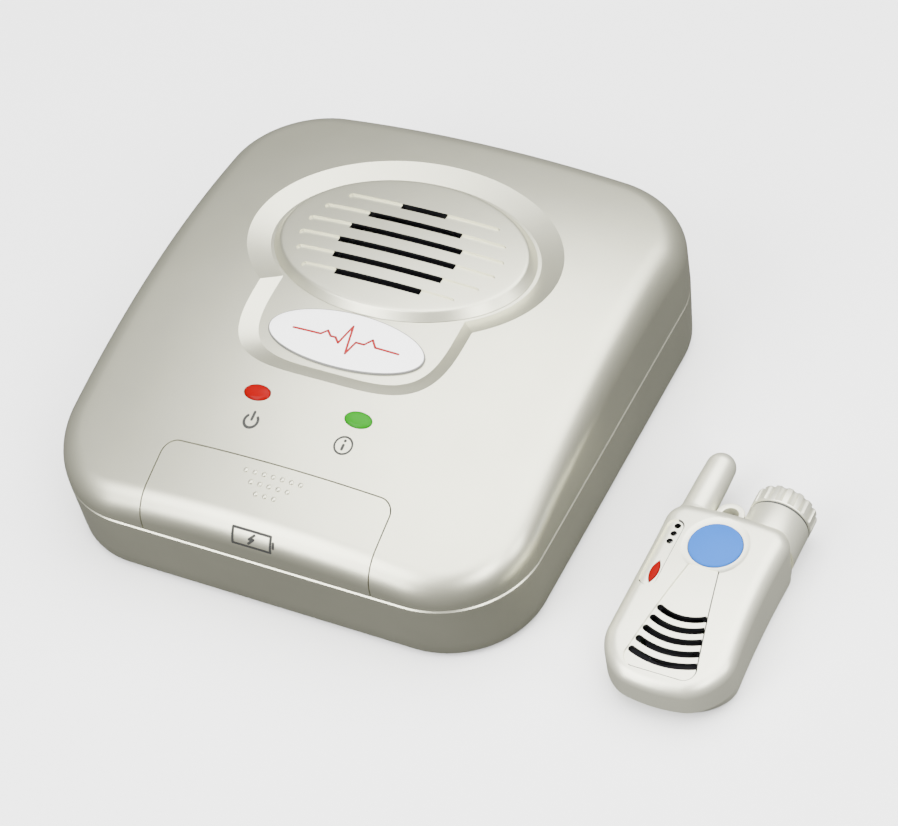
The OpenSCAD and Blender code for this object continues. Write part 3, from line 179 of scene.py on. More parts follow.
class Finishes(bpy.types.PropertyGroup):
    """Colours of the set's finishes"""
    case: colour("Case", "Warm light grey of the base station", 0.64, 0.635, 0.50)
    pendant: colour("Pendant", "Off-white of the pendant", 0.84, 0.835, 0.68)
    badge: colour("Badge", "White of the badge", 0.98, 0.98, 0.98)
    # Dark grey painted as shade in the pendant's fine gaps and round the badge's edge
    painted_gap_shade: colour("Painted gap shade", "Dark grey painted as shade round the badge's edge and in the pendant's fine gaps", 0.12, 0.12, 0.115)
    ink: colour("Ink", "Dark grey of the printed signs", 0.035, 0.035, 0.033)
    pulse: colour("Pulse line", "Red of the line on the badge", 0.25, 0.004, 0.006)
    red: colour("Red lens", "Red of the power lens", 0.2, 0.0008, 0.0015)
    green: colour("Green lens", "Green of the second lens", 0.012, 0.18, 0.006)
    leaf: colour("Leaf lens", "Red of the pendant's lens", 0.19, 0.0004, 0.0004)
    blue: colour("Button", "Blue of the alert button", 0.013, 0.105, 0.42)
    # Black of sockets, parts and speaker mesh; also painted on the walls of sound holes and slots as painted
    # shade
    black_and_hole_shade: colour("Black", "Black of sockets and mesh, and painted shade in the sound slots", 0.006, 0.006, 0.007)
    rubber: colour("Rubber", "Dark grey of feet and seal", 0.028, 0.028, 0.030)
    steel: colour("Steel", "Bright steel of screws and springs", 0.56, 0.56, 0.58)
    brass: colour("Brass", "Plated contacts", 0.83, 0.60, 0.26)
    board: colour("Board", "Green of the main board", 0.012, 0.10, 0.035)
    wrap: colour("Cell wrap", "Blue wrap of the cells", 0.03, 0.11, 0.34)
    floor: colour("Floor", "Pale floor", 0.94, 0.94, 0.94)


# Small tools for meshes

def mm(pairs):
    """Pairs of millimetres, in metres."""
    return [(a * MM, b * MM) for a, b in pairs]


def half_across(low, high):
    """Half the width of a box."""
    return (high.x - low.x) / 2


def quarter_turn(steps):
    """Even angles through a quarter turn."""
    return [QUARTER * i / steps for i in range(steps + 1)]


def heading(angle):
    """Direction of an angle in the plane."""
    return Vector((math.cos(angle), math.sin(angle)))


def rim(half_x, half_y, back_r, front_r, count):
    """Even steps round a rounded rectangle from the middle of its front: points and inward directions."""
    corners = [(Vector((half_x - front_r, front_r - half_y)), front_r),
               (Vector((half_x - back_r, half_y - back_r)), back_r),
               (Vector((back_r - half_x, half_y - back_r)), back_r),
               (Vector((front_r - half_x, front_r - half_y)), front_r)]
    stretches = []
    first = last = Vector((0, -half_y))
    for k, (centre, r) in enumerate(corners):
        turn = (k - 1) * QUARTER
        start = centre + r * heading(turn)
        stretches.append(((start - last).length, last, start, None, turn))
        stretches.append((r * QUARTER, centre, None, r, turn))
        last = centre + r * heading(turn + QUARTER)
    stretches.append(((first - last).length, last, first, None, 3 * QUARTER))
    whole = sum(s[0] for s in stretches)
    points, inward = [], []
    for i in range(count):
        way = whole * i / count
        for span, a, b, r, turn in stretches:
            if way <= span:
                break
            way -= span
        angle = turn if r is None else turn + QUARTER * way / span
        points.append(a.lerp(b, way / span) if r is None else a + r * heading(angle))
        inward.append(-heading(angle))
    return points, inward


def square_round(half_x, low_y, high_y, nx, ny):
    """Even steps round a rectangle from the middle of its front, as many as its grid has edges."""
    step_x, step_y = 2 * half_x / nx, (high_y - low_y) / ny
    return ([(i * step_x, low_y) for i in range(nx // 2)]
            + [(half_x, low_y + j * step_y) for j in range(ny)]
            + [(half_x - i * step_x, high_y) for i in range(nx)]
            + [(-half_x, high_y - j * step_y) for j in range(ny)]
            + [(i * step_x - half_x, low_y) for i in range(nx // 2)])


def first_ring(bm, places):
    """A closed ring of edges through the places."""
    ring = bmesh.ops.create_circle(bm, segments=len(places), radius=1)["verts"]
    for v, place in zip(ring, places):
        v.co = place
    return ring


def next_ring(bm, ring, places):
    """Grows a ring by one row of faces to new places."""
    edges = [bm.edges.get((a, b)) for a, b in zip(ring, ring[1:] + ring[:1])]
    made = set(bmesh.ops.extrude_edge_only(bm, edges=edges)["geom"])
    grown = [next(e.other_vert(v) for e in v.link_edges if e.other_vert(v) in made) for v in ring]
    for v, place in zip(grown, places):
        v.co = place
    return grown


def loft(bm, rings, low_lid=True, high_lid=True):
    """Skin through rings of places, with flat lids where asked; returns the last ring."""
    ring = first_ring(bm, rings[0])
    if low_lid:
        bm.faces.new(ring)
    for places in rings[1:]:
        ring = next_ring(bm, ring, places)
    if high_lid:
        bm.faces.new(ring)
    return ring


def spun(bm, profile, at, axis, steps=96):
    """Turns a profile of radius and height pairs round an axis through at."""
    across = Vector((1, 0, 0))
    verts = [bm.verts.new(at + across * r + axis * h) for r, h in profile]
    edges = [bm.edges.new(pair) for pair in zip(verts, verts[1:])]
    bmesh.ops.spin(bm, geom=verts + edges, cent=at, axis=axis, angle=2 * math.pi, steps=steps, use_merge=True)
    bmesh.ops.remove_doubles(bm, verts=bm.verts, dist=0.001 * MM)


def box(bm, low, high):
    """A block between two corners."""
    low, high = Vector(low), Vector(high)
    verts = bmesh.ops.create_cube(bm, size=1)["verts"]
    bmesh.ops.scale(bm, vec=high - low, verts=verts)
    bmesh.ops.translate(bm, vec=(low + high) / 2, verts=verts)


def drum(bm, at, radius, low, high, steps=48):
    """An upright cylinder between two heights."""
    verts = bmesh.ops.create_cone(bm, cap_ends=True, segments=steps, radius1=radius, radius2=radius,
                                  depth=high - low)["verts"]
    bmesh.ops.translate(bm, vec=(at[0], at[1], (low + high) / 2), verts=verts)


def prism(bm, places, low, high):
    """A straight block over a closed outline."""
    loft(bm, [[(x, y, low) for x, y in places], [(x, y, high) for x, y in places]])


def band(bm, outer, inner, low, high):
    """A narrow wall between two open lines of as many points."""
    loft(bm, [[(a[0], a[1], low), (a[0], a[1], high), (b[0], b[1], high), (b[0], b[1], low)]
              for a, b in zip(outer, inner)])


def bar(bm, half, width, place, columns=48, left_round=True, right_round=True):
    """A slot-shaped block; place puts a point of the flat slot on its low side (0) or its high side (1)."""
    before = set(bm.faces)
    verts = bmesh.ops.create_grid(bm, x_segments=columns, y_segments=2, size=1)["verts"]
    for v in verts:
        x = half * math.sin(QUARTER * v.co.x)
        ends = left_round if x < 0 else right_round
        over = max(0.0, abs(x) - half + width / 2) * 2 / width if ends else 0.0
        v.co = (x, v.co.y * width / 2 * math.sqrt(max(0.0, 1 - over * over)), 0)
    bmesh.ops.remove_doubles(bm, verts=verts, dist=0.0002 * MM)
    faces = [f for f in bm.faces if f not in before]
    low = {v for f in faces for v in f.verts}
    grown = bmesh.ops.extrude_face_region(bm, geom=faces)["geom"]
    for v in grown:
        if isinstance(v, bmesh.types.BMVert):
            v.co = place(v.co.x, v.co.y, 1)
    for v in low:
        v.co = place(v.co.x, v.co.y, 0)


def wear(mesh, finishes):
    """Gives a mesh the finishes that it doesn't have yet."""
    for each in finishes:
        if each.name not in mesh.materials:
            mesh.materials.append(each)


def new_object(name, bm, at=Vector(), finishes=()):
    """Makes an object of a mesh, moved to its unit's place, with its faces outwards in the last finish."""
    bmesh.ops.translate(bm, vec=at, verts=bm.verts)
    bmesh.ops.recalc_face_normals(bm, faces=bm.faces)
    mesh = bpy.data.meshes.new(name)
    wear(mesh, finishes)
    for f in bm.faces:
        f.material_index = max(f.material_index, len(finishes) - 1)
    bm.to_mesh(mesh)
    bm.free()
    made = bpy.data.objects.new(name, mesh)
    bpy.context.scene.collection.objects.link(made)
    return made


def carve(piece, tool, operation="DIFFERENCE"):
    """Cuts a piece with a tool, keeps what they share or joins them, and removes the tool."""
    cut = piece.modifiers.new("carve", "BOOLEAN")
    cut.operation = operation
    cut.solver = "EXACT"
    cut.object = tool
    made = bpy.data.meshes.new_from_object(piece.evaluated_get(bpy.context.evaluated_depsgraph_get()))
    if not made.polygons:
        raise RuntimeError(f"{piece.name}: {operation} with {tool.name} leaves nothing")
    old = piece.data
    piece.modifiers.clear()
    piece.data = made
    bpy.data.meshes.remove(old)
    bpy.data.meshes.remove(tool.data)


def dress(piece, body, slot, finishes, *nodes, crease=32.0):
    """Smooths a piece, gives it its finishes, and sets it on its body in place of its CAD nodes."""
    bm = bmesh.new()
    bm.from_mesh(piece.data)
    for f in bm.faces:
        f.smooth = True
    for e in bm.edges:
        e.smooth = len(e.link_faces) == 2 and e.calc_face_angle(0) < math.radians(crease)
    bm.to_mesh(piece.data)
    bm.free()
    wear(piece.data, finishes)
    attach(piece, body)
    if nodes:
        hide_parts(*nodes)


# Finishes

CLOUD_SCALE, CLOUD_DETAIL, CLOUD_LOW, CLOUD_HIGH = 45, 3, 0.3, 0.7
FINE_DETAIL, BUMP_STRENGTH = 2, 0.35
ROUGH_LEAST, ROUGH_SPREAD = 0.02, 0.05


def finish(name, tint, rough, mottle=0.03, grain=2600, depth=0.00001, **sockets):
    """A moulded finish: a faintly clouded colour, and a fine grain in its roughness and its surface."""
    made = bpy.data.materials.get(name)
    if made:
        return made
    made = bpy.data.materials.new(name)
    made.use_nodes = True
    nodes, links = made.node_tree.nodes, made.node_tree.links
    shader = nodes["Principled BSDF"]
    where = nodes.new("ShaderNodeTexCoord")
    cloud = nodes.new("ShaderNodeTexNoise")
    cloud.inputs["Scale"].default_value = CLOUD_SCALE
    cloud.inputs["Detail"].default_value = CLOUD_DETAIL
    shade = nodes.new("ShaderNodeValToRGB")
    low, high = shade.color_ramp.elements
    low.position, high.position = CLOUD_LOW, CLOUD_HIGH
    low.color = (*[c * (1 - mottle) for c in tint], 1)
    high.color = (*[min(1.0, c * (1 + mottle)) for c in tint], 1)
    fine = nodes.new("ShaderNodeTexNoise")
    fine.inputs["Scale"].default_value = grain
    fine.inputs["Detail"].default_value = FINE_DETAIL
    gloss = nodes.new("ShaderNodeMapRange")
    gloss.inputs["To Min"].default_value = max(ROUGH_LEAST, rough - ROUGH_SPREAD)
    gloss.inputs["To Max"].default_value = min(1.0, rough + ROUGH_SPREAD)
    bump = nodes.new("ShaderNodeBump")
    bump.inputs["Strength"].default_value = BUMP_STRENGTH
    bump.inputs["Distance"].default_value = depth
    links.new(where.outputs["Object"], cloud.inputs["Vector"])
    links.new(where.outputs["Object"], fine.inputs["Vector"])
    links.new(cloud.outputs["Fac"], shade.inputs["Fac"])
    links.new(shade.outputs["Color"], shader.inputs["Base Color"])
    links.new(fine.outputs["Fac"], gloss.inputs["Value"])
    links.new(gloss.outputs["Result"], shader.inputs["Roughness"])
    links.new(fine.outputs["Fac"], bump.inputs["Height"])
    links.new(bump.outputs["Normal"], shader.inputs["Normal"])
    for socket, value in sockets.items():
        shader.inputs[socket.replace("_", " ").title().replace("Ior", "IOR")].default_value = value
    return made


def looks(context):
    """Every finish of the set, by name."""
    paint = context.scene.response_finishes
    return {
        "case": finish("case_satin", paint.case, 0.36, metallic=0.86),
        "pendant": finish("pendant_satin", paint.pendant, 0.4, metallic=0.72),
        "badge": finish("badge_gloss", paint.badge, 0.3, mottle=0.01),
        # Painted shade for the pendant's fine gaps and the badge's edge
        "painted_gap_shade": finish("painted_gap_shade_finish", paint.painted_gap_shade, 0.4),
        "ink": finish("printed_ink", paint.ink, 0.55, specular_ior_level=0.2),
        "pulse": finish("pulse_print", paint.pulse, 0.5, specular_ior_level=0.2),
        "red": finish("red_lens", paint.red, 0.2, specular_ior_level=0.05),
        "green": finish("green_lens", paint.green, 0.2, specular_ior_level=0.05),
        "leaf": finish("leaf_lens", paint.leaf, 0.3, specular_ior_level=0.03),
        "blue": finish("button_satin", paint.blue, 0.42, specular_ior_level=0.08),
        # Real black of sockets and parts, and painted shade on the walls of sound holes and slots
        "black_and_hole_shade": finish("black_satin_and_hole_shade", paint.black_and_hole_shade, 0.5, mottle=0.15, specular_ior_level=0.2),
        "cone": finish("cone_card", paint.black_and_hole_shade, 0.9, mottle=0.3, grain=900, depth=0.00005,
                       specular_ior_level=0.05),
        "mesh": finish("sound_mesh", paint.black_and_hole_shade, 0.85, mottle=0.2, grain=1400, depth=0.00006,
                       specular_ior_level=0.05),
        "rubber": finish("foot_rubber", paint.rubber, 0.8, mottle=0.12, grain=1500, depth=0.00003),
        "steel": finish("bright_steel", paint.steel, 0.3, metallic=1.0),
        "iron": finish("magnet_grey", paint.rubber, 0.45, mottle=0.1, metallic=0.6),
        "brass": finish("plated_brass", paint.brass, 0.26, metallic=1.0),
        "board": finish("board_mask", paint.board, 0.35, mottle=0.12, coat_weight=0.3),
        "wrap": finish("cell_sleeve", paint.wrap, 0.3, mottle=0.06, coat_weight=0.3),
        "lamp": finish("lamp_dome", paint.badge, 0.15, coat_weight=0.5),
        "seal": finish("seal_rubber", paint.rubber, 0.75, mottle=0.1),
    }


# Shapes of the base station

POCKET_POWER, POCKET_LESS = 3.8, 0.05 * MM
# Half width, front, back and cells of the even grid in the crown's middle
PLAIN_GRID = (51 * MM, -33 * MM, 61 * MM, 68, 62)
SEAM_CHAMFER, SEAM_GAP = 0.22 * MM, 0.3 * MM
SPACE_LOWER = 2 * MM
# Share of a roll's radius at which the skin's tilt is taken
TILT_AT = 0.7
SUNK_STEPS, PLATE_STEPS, SOUND_STEPS, BADGE_STEPS, LENS_STEPS = 240, 192, 96, 128, 56
PLATE_LIFT = 0.15 * MM
DOOR_ROOM, DOOR_AHEAD, DOOR_UNDER, DOOR_OVER = 0.1 * MM, 20 * MM, 3 * MM, 10 * MM
SOUND_UNDER, SOUND_OVER = 30 * MM, 5 * MM
DOT_ROWS, DOT_DRAWN_R, DOTS_FROM = (7, 5, 3), 0.8, 3.6 * MM
# Radius and height pairs of a dot, in millimetres
DOT_PROFILE = [(0, 0.42), (0.25, 0.41), (0.52, 0.34), (0.7, 0.18), (0.8, -0.05), (0.8, -0.8), (0, -0.8)]
FEET, FOOT_WELL_R = (50 * MM, 58 * MM), 6.65 * MM
SCREWS, SCREW_WELL_R = (60 * MM, 42 * MM), 3 * MM
SLOT_ROWS, GROOVE_DEEP, HOLE_DEEP, SLOT_OVER = 6, 0.65 * MM, 6 * MM, 2 * MM
PLATE_T, PLATE_UNDER, UNDER_LESS = 0.85 * MM, 9 * MM, 0.2 * MM
LENS_FULL, LENS_START = 0.9, 0.999
SIGN_FILM, SIGN_ROOT = 0.03 * MM, 0.1 * MM
# Points of the printed lines, in millimetres
PULSE = [(-17, 0), (-8, 0), (-6.4, 1.6), (-4.8, 0), (-3.2, 0), (-1.6, -1.6), (0.2, 5), (2, -4.4), (3.4, 0),
         (6, 0), (7.8, 2.2), (9.6, 0), (17, 0)]
BOLT = [(0.9, 1.5), (-0.7, -0.1), (0.7, 0.1), (-0.9, -1.5)]


def base_kit(context):
    """Sizes of the base, and the finishes."""
    return context.scene.response_base, looks(context)


def crown(base, x, y):
    """Height of the case's crown at a place."""
    across, along = x / base.half_w, y / base.half_d
    return (base.crown_edge + base.rise_x * (1 - across * across) + base.rise_y * (1 - along * along)
            + base.tilt * along)


def on_crown(base, places, rise):
    """Places put that far over the crown."""
    return [(x, y, crown(base, x, y) + rise) for x, y in places]


def soft(value, width=0.1):
    """Holds a value between 0 and 1, with rounded ends."""
    if value >= 0.5:
        return 1 - soft(1 - value, width)
    if value <= -width:
        return 0.0
    return value if value >= width else (value + width) ** 2 / (4 * width)


def sunk(x, y, a, b, side, power=2.0):
    """How far a place is down the side of a sunk oval: 0 outside its rim, 1 on its floor."""
    rim_at = (abs(x / a) ** power + abs(y / b) ** power) ** (1 / power)
    floor_at = (abs(x / (a - side)) ** power + abs(y / (b - side)) ** power) ** (1 / power)
    if floor_at < 0.01:
        return 1.0
    return soft(1 - (1 - 1 / floor_at) / (1 / rim_at - 1 / floor_at))


def cover_inside(base, under):
    """Heights of the cover's inside, that far under its outside."""
    dish = (base.grille_a + base.dish_a + under, base.grille_b + base.dish_b + under, base.dish_slope)
    pocket = (base.pocket_a + under, base.pocket_b + under, base.pocket_slope)

    def height(x, y):
        deep = max(sunk(x, y - base.grille_y, *dish), sunk(x, y - base.pocket_y, *pocket, POCKET_POWER))
        return crown(base, x, y) - under - base.recess * deep
    return height


def tilt_at(skin, p, n, radius):
    """Tilt of a skin where a roll from an edge meets it."""
    ahead, behind = p + n * (TILT_AT * radius + MM / 2), p + n * (TILT_AT * radius - MM / 2)
    return math.atan((skin(*ahead) - skin(*behind)) / MM)


def dome(bm, edge, inward, skin, low, radius, grid, steps=8, roll=16, chamfer=0.0):
    """Closed body under a skin: a wall from the height low, a roll, then rows in to a grid in its middle."""
    half_x, low_y, high_y, nx, ny = grid
    rings = [[(*(p + n * chamfer), low) for p, n in zip(edge, inward)]]
    if chamfer:
        rings.append([(*p, low + chamfer) for p in edge])
    tilts = [tilt_at(skin, p, n, radius) for p, n in zip(edge, inward)]
    meets = [p + n * radius * (1 - math.sin(tilt)) for p, n, tilt in zip(edge, inward, tilts)]
    for j in range(roll + 1):
        ring = []
        for p, n, tilt, meet in zip(edge, inward, tilts, meets):
            angle = (QUARTER - tilt) * j / roll
            rise = skin(*meet) - radius * math.cos(tilt) + radius * math.sin(angle)
            ring.append((*(p + n * radius * (1 - math.cos(angle))), rise))
        rings.append(ring)
    goal = [Vector(p) for p in square_round(half_x, low_y, high_y, nx, ny)]
    for k in range(1, steps + 1):
        row = [meet.lerp(end, k / steps) for meet, end in zip(meets, goal)]
        rings.append([(*p, skin(*p)) for p in row])
    last = loft(bm, rings, high_lid=False)
    middle = bmesh.ops.create_grid(bm, x_segments=nx, y_segments=ny, size=1)["verts"]
    for v in middle:
        x = v.co.x * half_x
        y = (low_y + high_y) / 2 + v.co.y * (high_y - low_y) / 2
        v.co = (x, y, skin(x, y))
    bmesh.ops.remove_doubles(bm, verts=last + middle, dist=0.01 * MM)


def base_dome(name, base, inset=0.0):
    """The crowned body of the base over its seam, or the space inside it, which is lower under the recess."""
    r = base.corner_r - inset
    edge, inward = rim(base.half_w - inset, base.half_d - inset, r, r, 2 * (PLAIN_GRID[3] + PLAIN_GRID[4]))
    low = COVER_LOW.z - (SPACE_LOWER if inset else 0)
    skin = cover_inside(base, inset) if inset else lambda x, y: crown(base, x, y)
    bm = bmesh.new()
    dome(bm, edge, inward, skin, low, base.edge_r - inset, PLAIN_GRID, chamfer=0.0 if inset else SEAM_CHAMFER)
    return new_object(name, bm, BASE_AT)


def sunk_block(name, base, y0, a, b, side, power, depth):
    """Block that sinks an oval into the crown, with straight sides that run on over it."""
    turns = [heading(2 * math.pi * i / SUNK_STEPS) for i in range(SUNK_STEPS)]

    def ring(half_x, half_y, height):
        places = [(half_x * math.copysign(abs(turn.x) ** (2 / power), turn.x),
                   y0 + half_y * math.copysign(abs(turn.y) ** (2 / power), turn.y)) for turn in turns]
        return on_crown(base, places, height)
    rows = [ring((a - side) * k, (b - side) * k, -depth) for k in (0.05, 0.2, 0.35, 0.5, 0.65, 0.8, 0.9, 1)]
    rows += [ring(a + side / 3, b + side / 3, height) for height in (depth / 3, 2 * depth)]
    bm = bmesh.new()
    loft(bm, rows)
    return new_object(name, bm, BASE_AT)


def arc(x, y, r, start, end, steps=12):
    """Points along an arc, in degrees."""
    turns = [math.radians(start + (end - start) * i / steps) for i in range(steps + 1)]
    return [(x + r * math.cos(turn), y + r * math.sin(turn)) for turn in turns]


def oval_points(x, y, a, b, count=64):
    """Points round an oval."""
    turns = [2 * math.pi * i / count for i in range(count)]
    return [(x + a * math.cos(turn), y + b * math.sin(turn)) for turn in turns]


def door_block(base, gap):
    """Block that cuts the charger door out of the cover, smaller by the gap."""
    half, r = base.door_half - gap, base.door_r - gap
    back, ahead = base.door_depth - base.half_d - gap, -base.half_d - DOOR_AHEAD
    places = ([(-half, ahead), (half, ahead)] + arc(half - r, back - r, r, 0, 90)
              + arc(r - half, back - r, r, 90, 180))
    bm = bmesh.new()
    prism(bm, places, COVER_LOW.z - (0 if gap > 0 else DOOR_UNDER), COVER_HIGH.z + DOOR_OVER)
    return new_object("door_block", bm, BASE_AT)


class RESPONSE_OT_cover(bpy.types.Operator):
    """Crowned cover of the base, with the recess round its grille and the cut-out of its door"""
    bl_idname = "response.cover"
    bl_label = "Upper cover"

    def execute(self, context):
        base, look = base_kit(context)
        paints = [look["case"], look["black_and_hole_shade"]]
        cover = base_dome("cover_shell", base)
        carve(cover, base_dome("cover_space", base, base.wall))
        carve(cover, sunk_block("dish", base, base.grille_y, base.grille_a + base.dish_a,
                                base.grille_b + base.dish_b, base.dish_slope, 2, base.recess))
        carve(cover, sunk_block("pocket", base, base.pocket_y, base.pocket_a, base.pocket_b,
                                base.pocket_slope, POCKET_POWER, base.recess - POCKET_LESS))
        carve(cover, door_block(base, -DOOR_ROOM))
        wear(cover.data, paints)
        bm = bmesh.new()
        drum(bm, (0, base.sound_y), base.sound_r, COVER_HIGH.z - SOUND_UNDER, COVER_HIGH.z + SOUND_OVER,
             SOUND_STEPS)
        # The sound hole's walls take the black finish: painted shade where the hole shows the inside
        carve(cover, new_object("sound_hole", bm, BASE_AT, paints))
        bm = bmesh.new()
        for side in (-1, 1):
            prism(bm, oval_points(side * base.lens_x, -base.lens_y, base.lens_a, base.lens_b),
                  COVER_LOW.z, COVER_HIGH.z)
        carve(cover, new_object("cover_holes", bm, BASE_AT))
        dress(cover, "base", "case_plastic", [], "upper_cover", crease=12)
        return {"FINISHED"}


class RESPONSE_OT_door(bpy.types.Operator):
    """Charger door that wraps over the front edge, with guide legs, a tongue behind and grip dots"""
    bl_idname = "response.door"
    bl_label = "Charger door"

    def execute(self, context):
        base, look = base_kit(context)
        leg_x, leg_t, leg_low = base.door_half - 5.4 * MM, 1.6 * MM, COVER_LOW.z + 1.8 * MM
        leg_front, back = 5.5 * MM - base.half_d, base.door_depth - base.half_d - base.door_gap
        tongue_z, tongue = leg_low + 0.7 * MM, 1.4 * MM
        lip_half, lip_reach, lip_t, lip_root = 16 * MM, 3.2 * MM, 1.2 * MM, 1.8 * MM
        space = base_dome("door_space", base, base.wall)
        kept = (("door_legs", 0, leg_t, leg_low, COVER_HIGH.z),
                ("door_tongues", leg_t / 2, leg_t + tongue, tongue_z, tongue_z + tongue))
        for name, near, far, low, high in kept:
            bm = bmesh.new()
            for side in (-1, 1):
                xs = sorted((side * (leg_x + near), side * (leg_x + far)))
                box(bm, (xs[0], leg_front, low), (xs[1], back + MM, high))
            carve(space, new_object(name, bm, BASE_AT))
        door = base_dome("door_shell", base)
        carve(door, door_block(base, base.door_gap), "INTERSECT")
        carve(door, space)
        slope = math.atan((crown(base, 0, back + MM) - crown(base, 0, back - MM)) / (2 * MM))
        lip_z = crown(base, lip_half, back) - (base.wall + base.door_gap) / math.cos(slope) - lip_t
        bm = bmesh.new()
        box(bm, (-lip_half, -lip_root, 0), (lip_half, lip_reach, lip_t))
        box(bm, (-lip_half, -lip_root, lip_t / 2), (lip_half, -lip_root / 2, lip_t + base.wall))
        bmesh.ops.rotate(bm, cent=(0, 0, 0), matrix=Matrix.Rotation(slope, 3, "X"), verts=bm.verts)
        bmesh.ops.translate(bm, vec=(0, back, lip_z), verts=bm.verts)
        profile = [(r * base.dot_r / DOT_DRAWN_R, h * MM) for r, h in DOT_PROFILE]
        for row, dots in enumerate(DOT_ROWS):
            y = base.door_depth - base.half_d - DOTS_FROM - row * base.dot_pitch
            for i in range(dots):
                x = (i - (dots - 1) / 2) * base.dot_pitch
                spun(bm, profile, Vector((x, y, crown(base, x, y))), UP, 20)
        join(door, new_object("door_extra", bm, BASE_AT))
        dress(door, "charger_door", "case_plastic", [look["case"]], "charger_door")
        return {"FINISHED"}


def join(piece, other):
    """Adds another object's mesh to a piece and removes the other."""
    bm = bmesh.new()
    bm.from_mesh(piece.data)
    bm.from_mesh(other.data)
    bm.to_mesh(piece.data)
    bm.free()
    bpy.data.meshes.remove(other.data)


def case_outline(base, inset, height, count=360):
    """Outline of the case, moved in, at a height."""
    r = base.corner_r - inset
    return [(*p, height) for p in rim(base.half_w - inset, base.half_d - inset, r, r, count)[0]]


class RESPONSE_OT_lower_case(bpy.types.Operator):
    """Lower case with a rounded underside, an inner lip, rear windows and wells for feet and screws"""
    bl_idname = "response.lower_case"
    bl_label = "Lower case"

    def execute(self, context):
        base, look = base_kit(context)
        low, seam = CASE_LOW.z, COVER_LOW.z - SEAM_GAP
        span = (seam - low) / MM
        sides = [(2.2, 0), (1.55, 0.25), (1.2, 0.7), (0.96, 1.4), (0.75, 5), (0.5, span / 2),
                 (0.03, span - 0.45), (0.42, span)]
        bm = bmesh.new()
        loft(bm, [case_outline(base, s * base.draft, low + h * MM) for s, h in sides])
        case = new_object("case_tub", bm, BASE_AT)
        bm = bmesh.new()
        loft(bm, [case_outline(base, base.wall + base.draft, low + base.wall),
                  case_outline(base, base.wall, seam + MM)])
        carve(case, new_object("case_space", bm, BASE_AT))
        root, lip_in, lip_t = base.wall - 0.2 * MM, base.wall + 0.25 * MM, 1.2 * MM
        lip_h, lip_low = 2.5 * MM, -3 * MM
        rings = [(root, lip_low), (root, -MM), (lip_in, -MM), (lip_in, lip_h), (lip_in + lip_t, lip_h),
                 (lip_in + lip_t, lip_low)]
        bm = bmesh.new()
        loft(bm, [case_outline(base, s, seam + h) for s, h in rings], low_lid=False, high_lid=False)
        bmesh.ops.bridge_loops(bm, edges=[e for e in bm.edges if len(e.link_faces) == 1])
        lip = new_object("case_lip", bm, BASE_AT)
        rail, deep = base.door_half + 3.3 * MM, 3 * base.wall
        bm = bmesh.new()
        box(bm, (-rail, -base.half_d - MM, seam - 4 * MM), (rail, deep - base.half_d, seam + 5 * MM))
        carve(lip, new_object("lip_gap", bm, BASE_AT))
        carve(case, lip, "UNION")
        bm = bmesh.new()
        room = Vector((0.15, 0, 0.15)) * MM
        for node in ("line_jack", "phone_jack", "power_jack"):
            first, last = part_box(node)
            first, last = first - room - BASE_AT, last + room - BASE_AT
            box(bm, (first.x, base.half_d - deep, first.z), (last.x, base.half_d + MM, last.z))
        for (far_x, far_y), r, well in ((FEET, FOOT_WELL_R, MM), (SCREWS, SCREW_WELL_R, 3 * MM)):
            for x in (-far_x, far_x):
                for y in (-far_y, far_y):
                    drum(bm, (x, y), r, low - MM, low + well)
        first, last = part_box("battery_door")
        room = Vector((0.4, 0.4, 0)) * MM
        box(bm, first - room - BASE_AT - Vector((0, 0, MM)), last + room - BASE_AT + Vector((0, 0, 0.1 * MM)))
        carve(case, new_object("case_cuts", bm, BASE_AT))
        dress(case, "base", "case_plastic", [look["case"]], "lower_case")
        return {"FINISHED"}


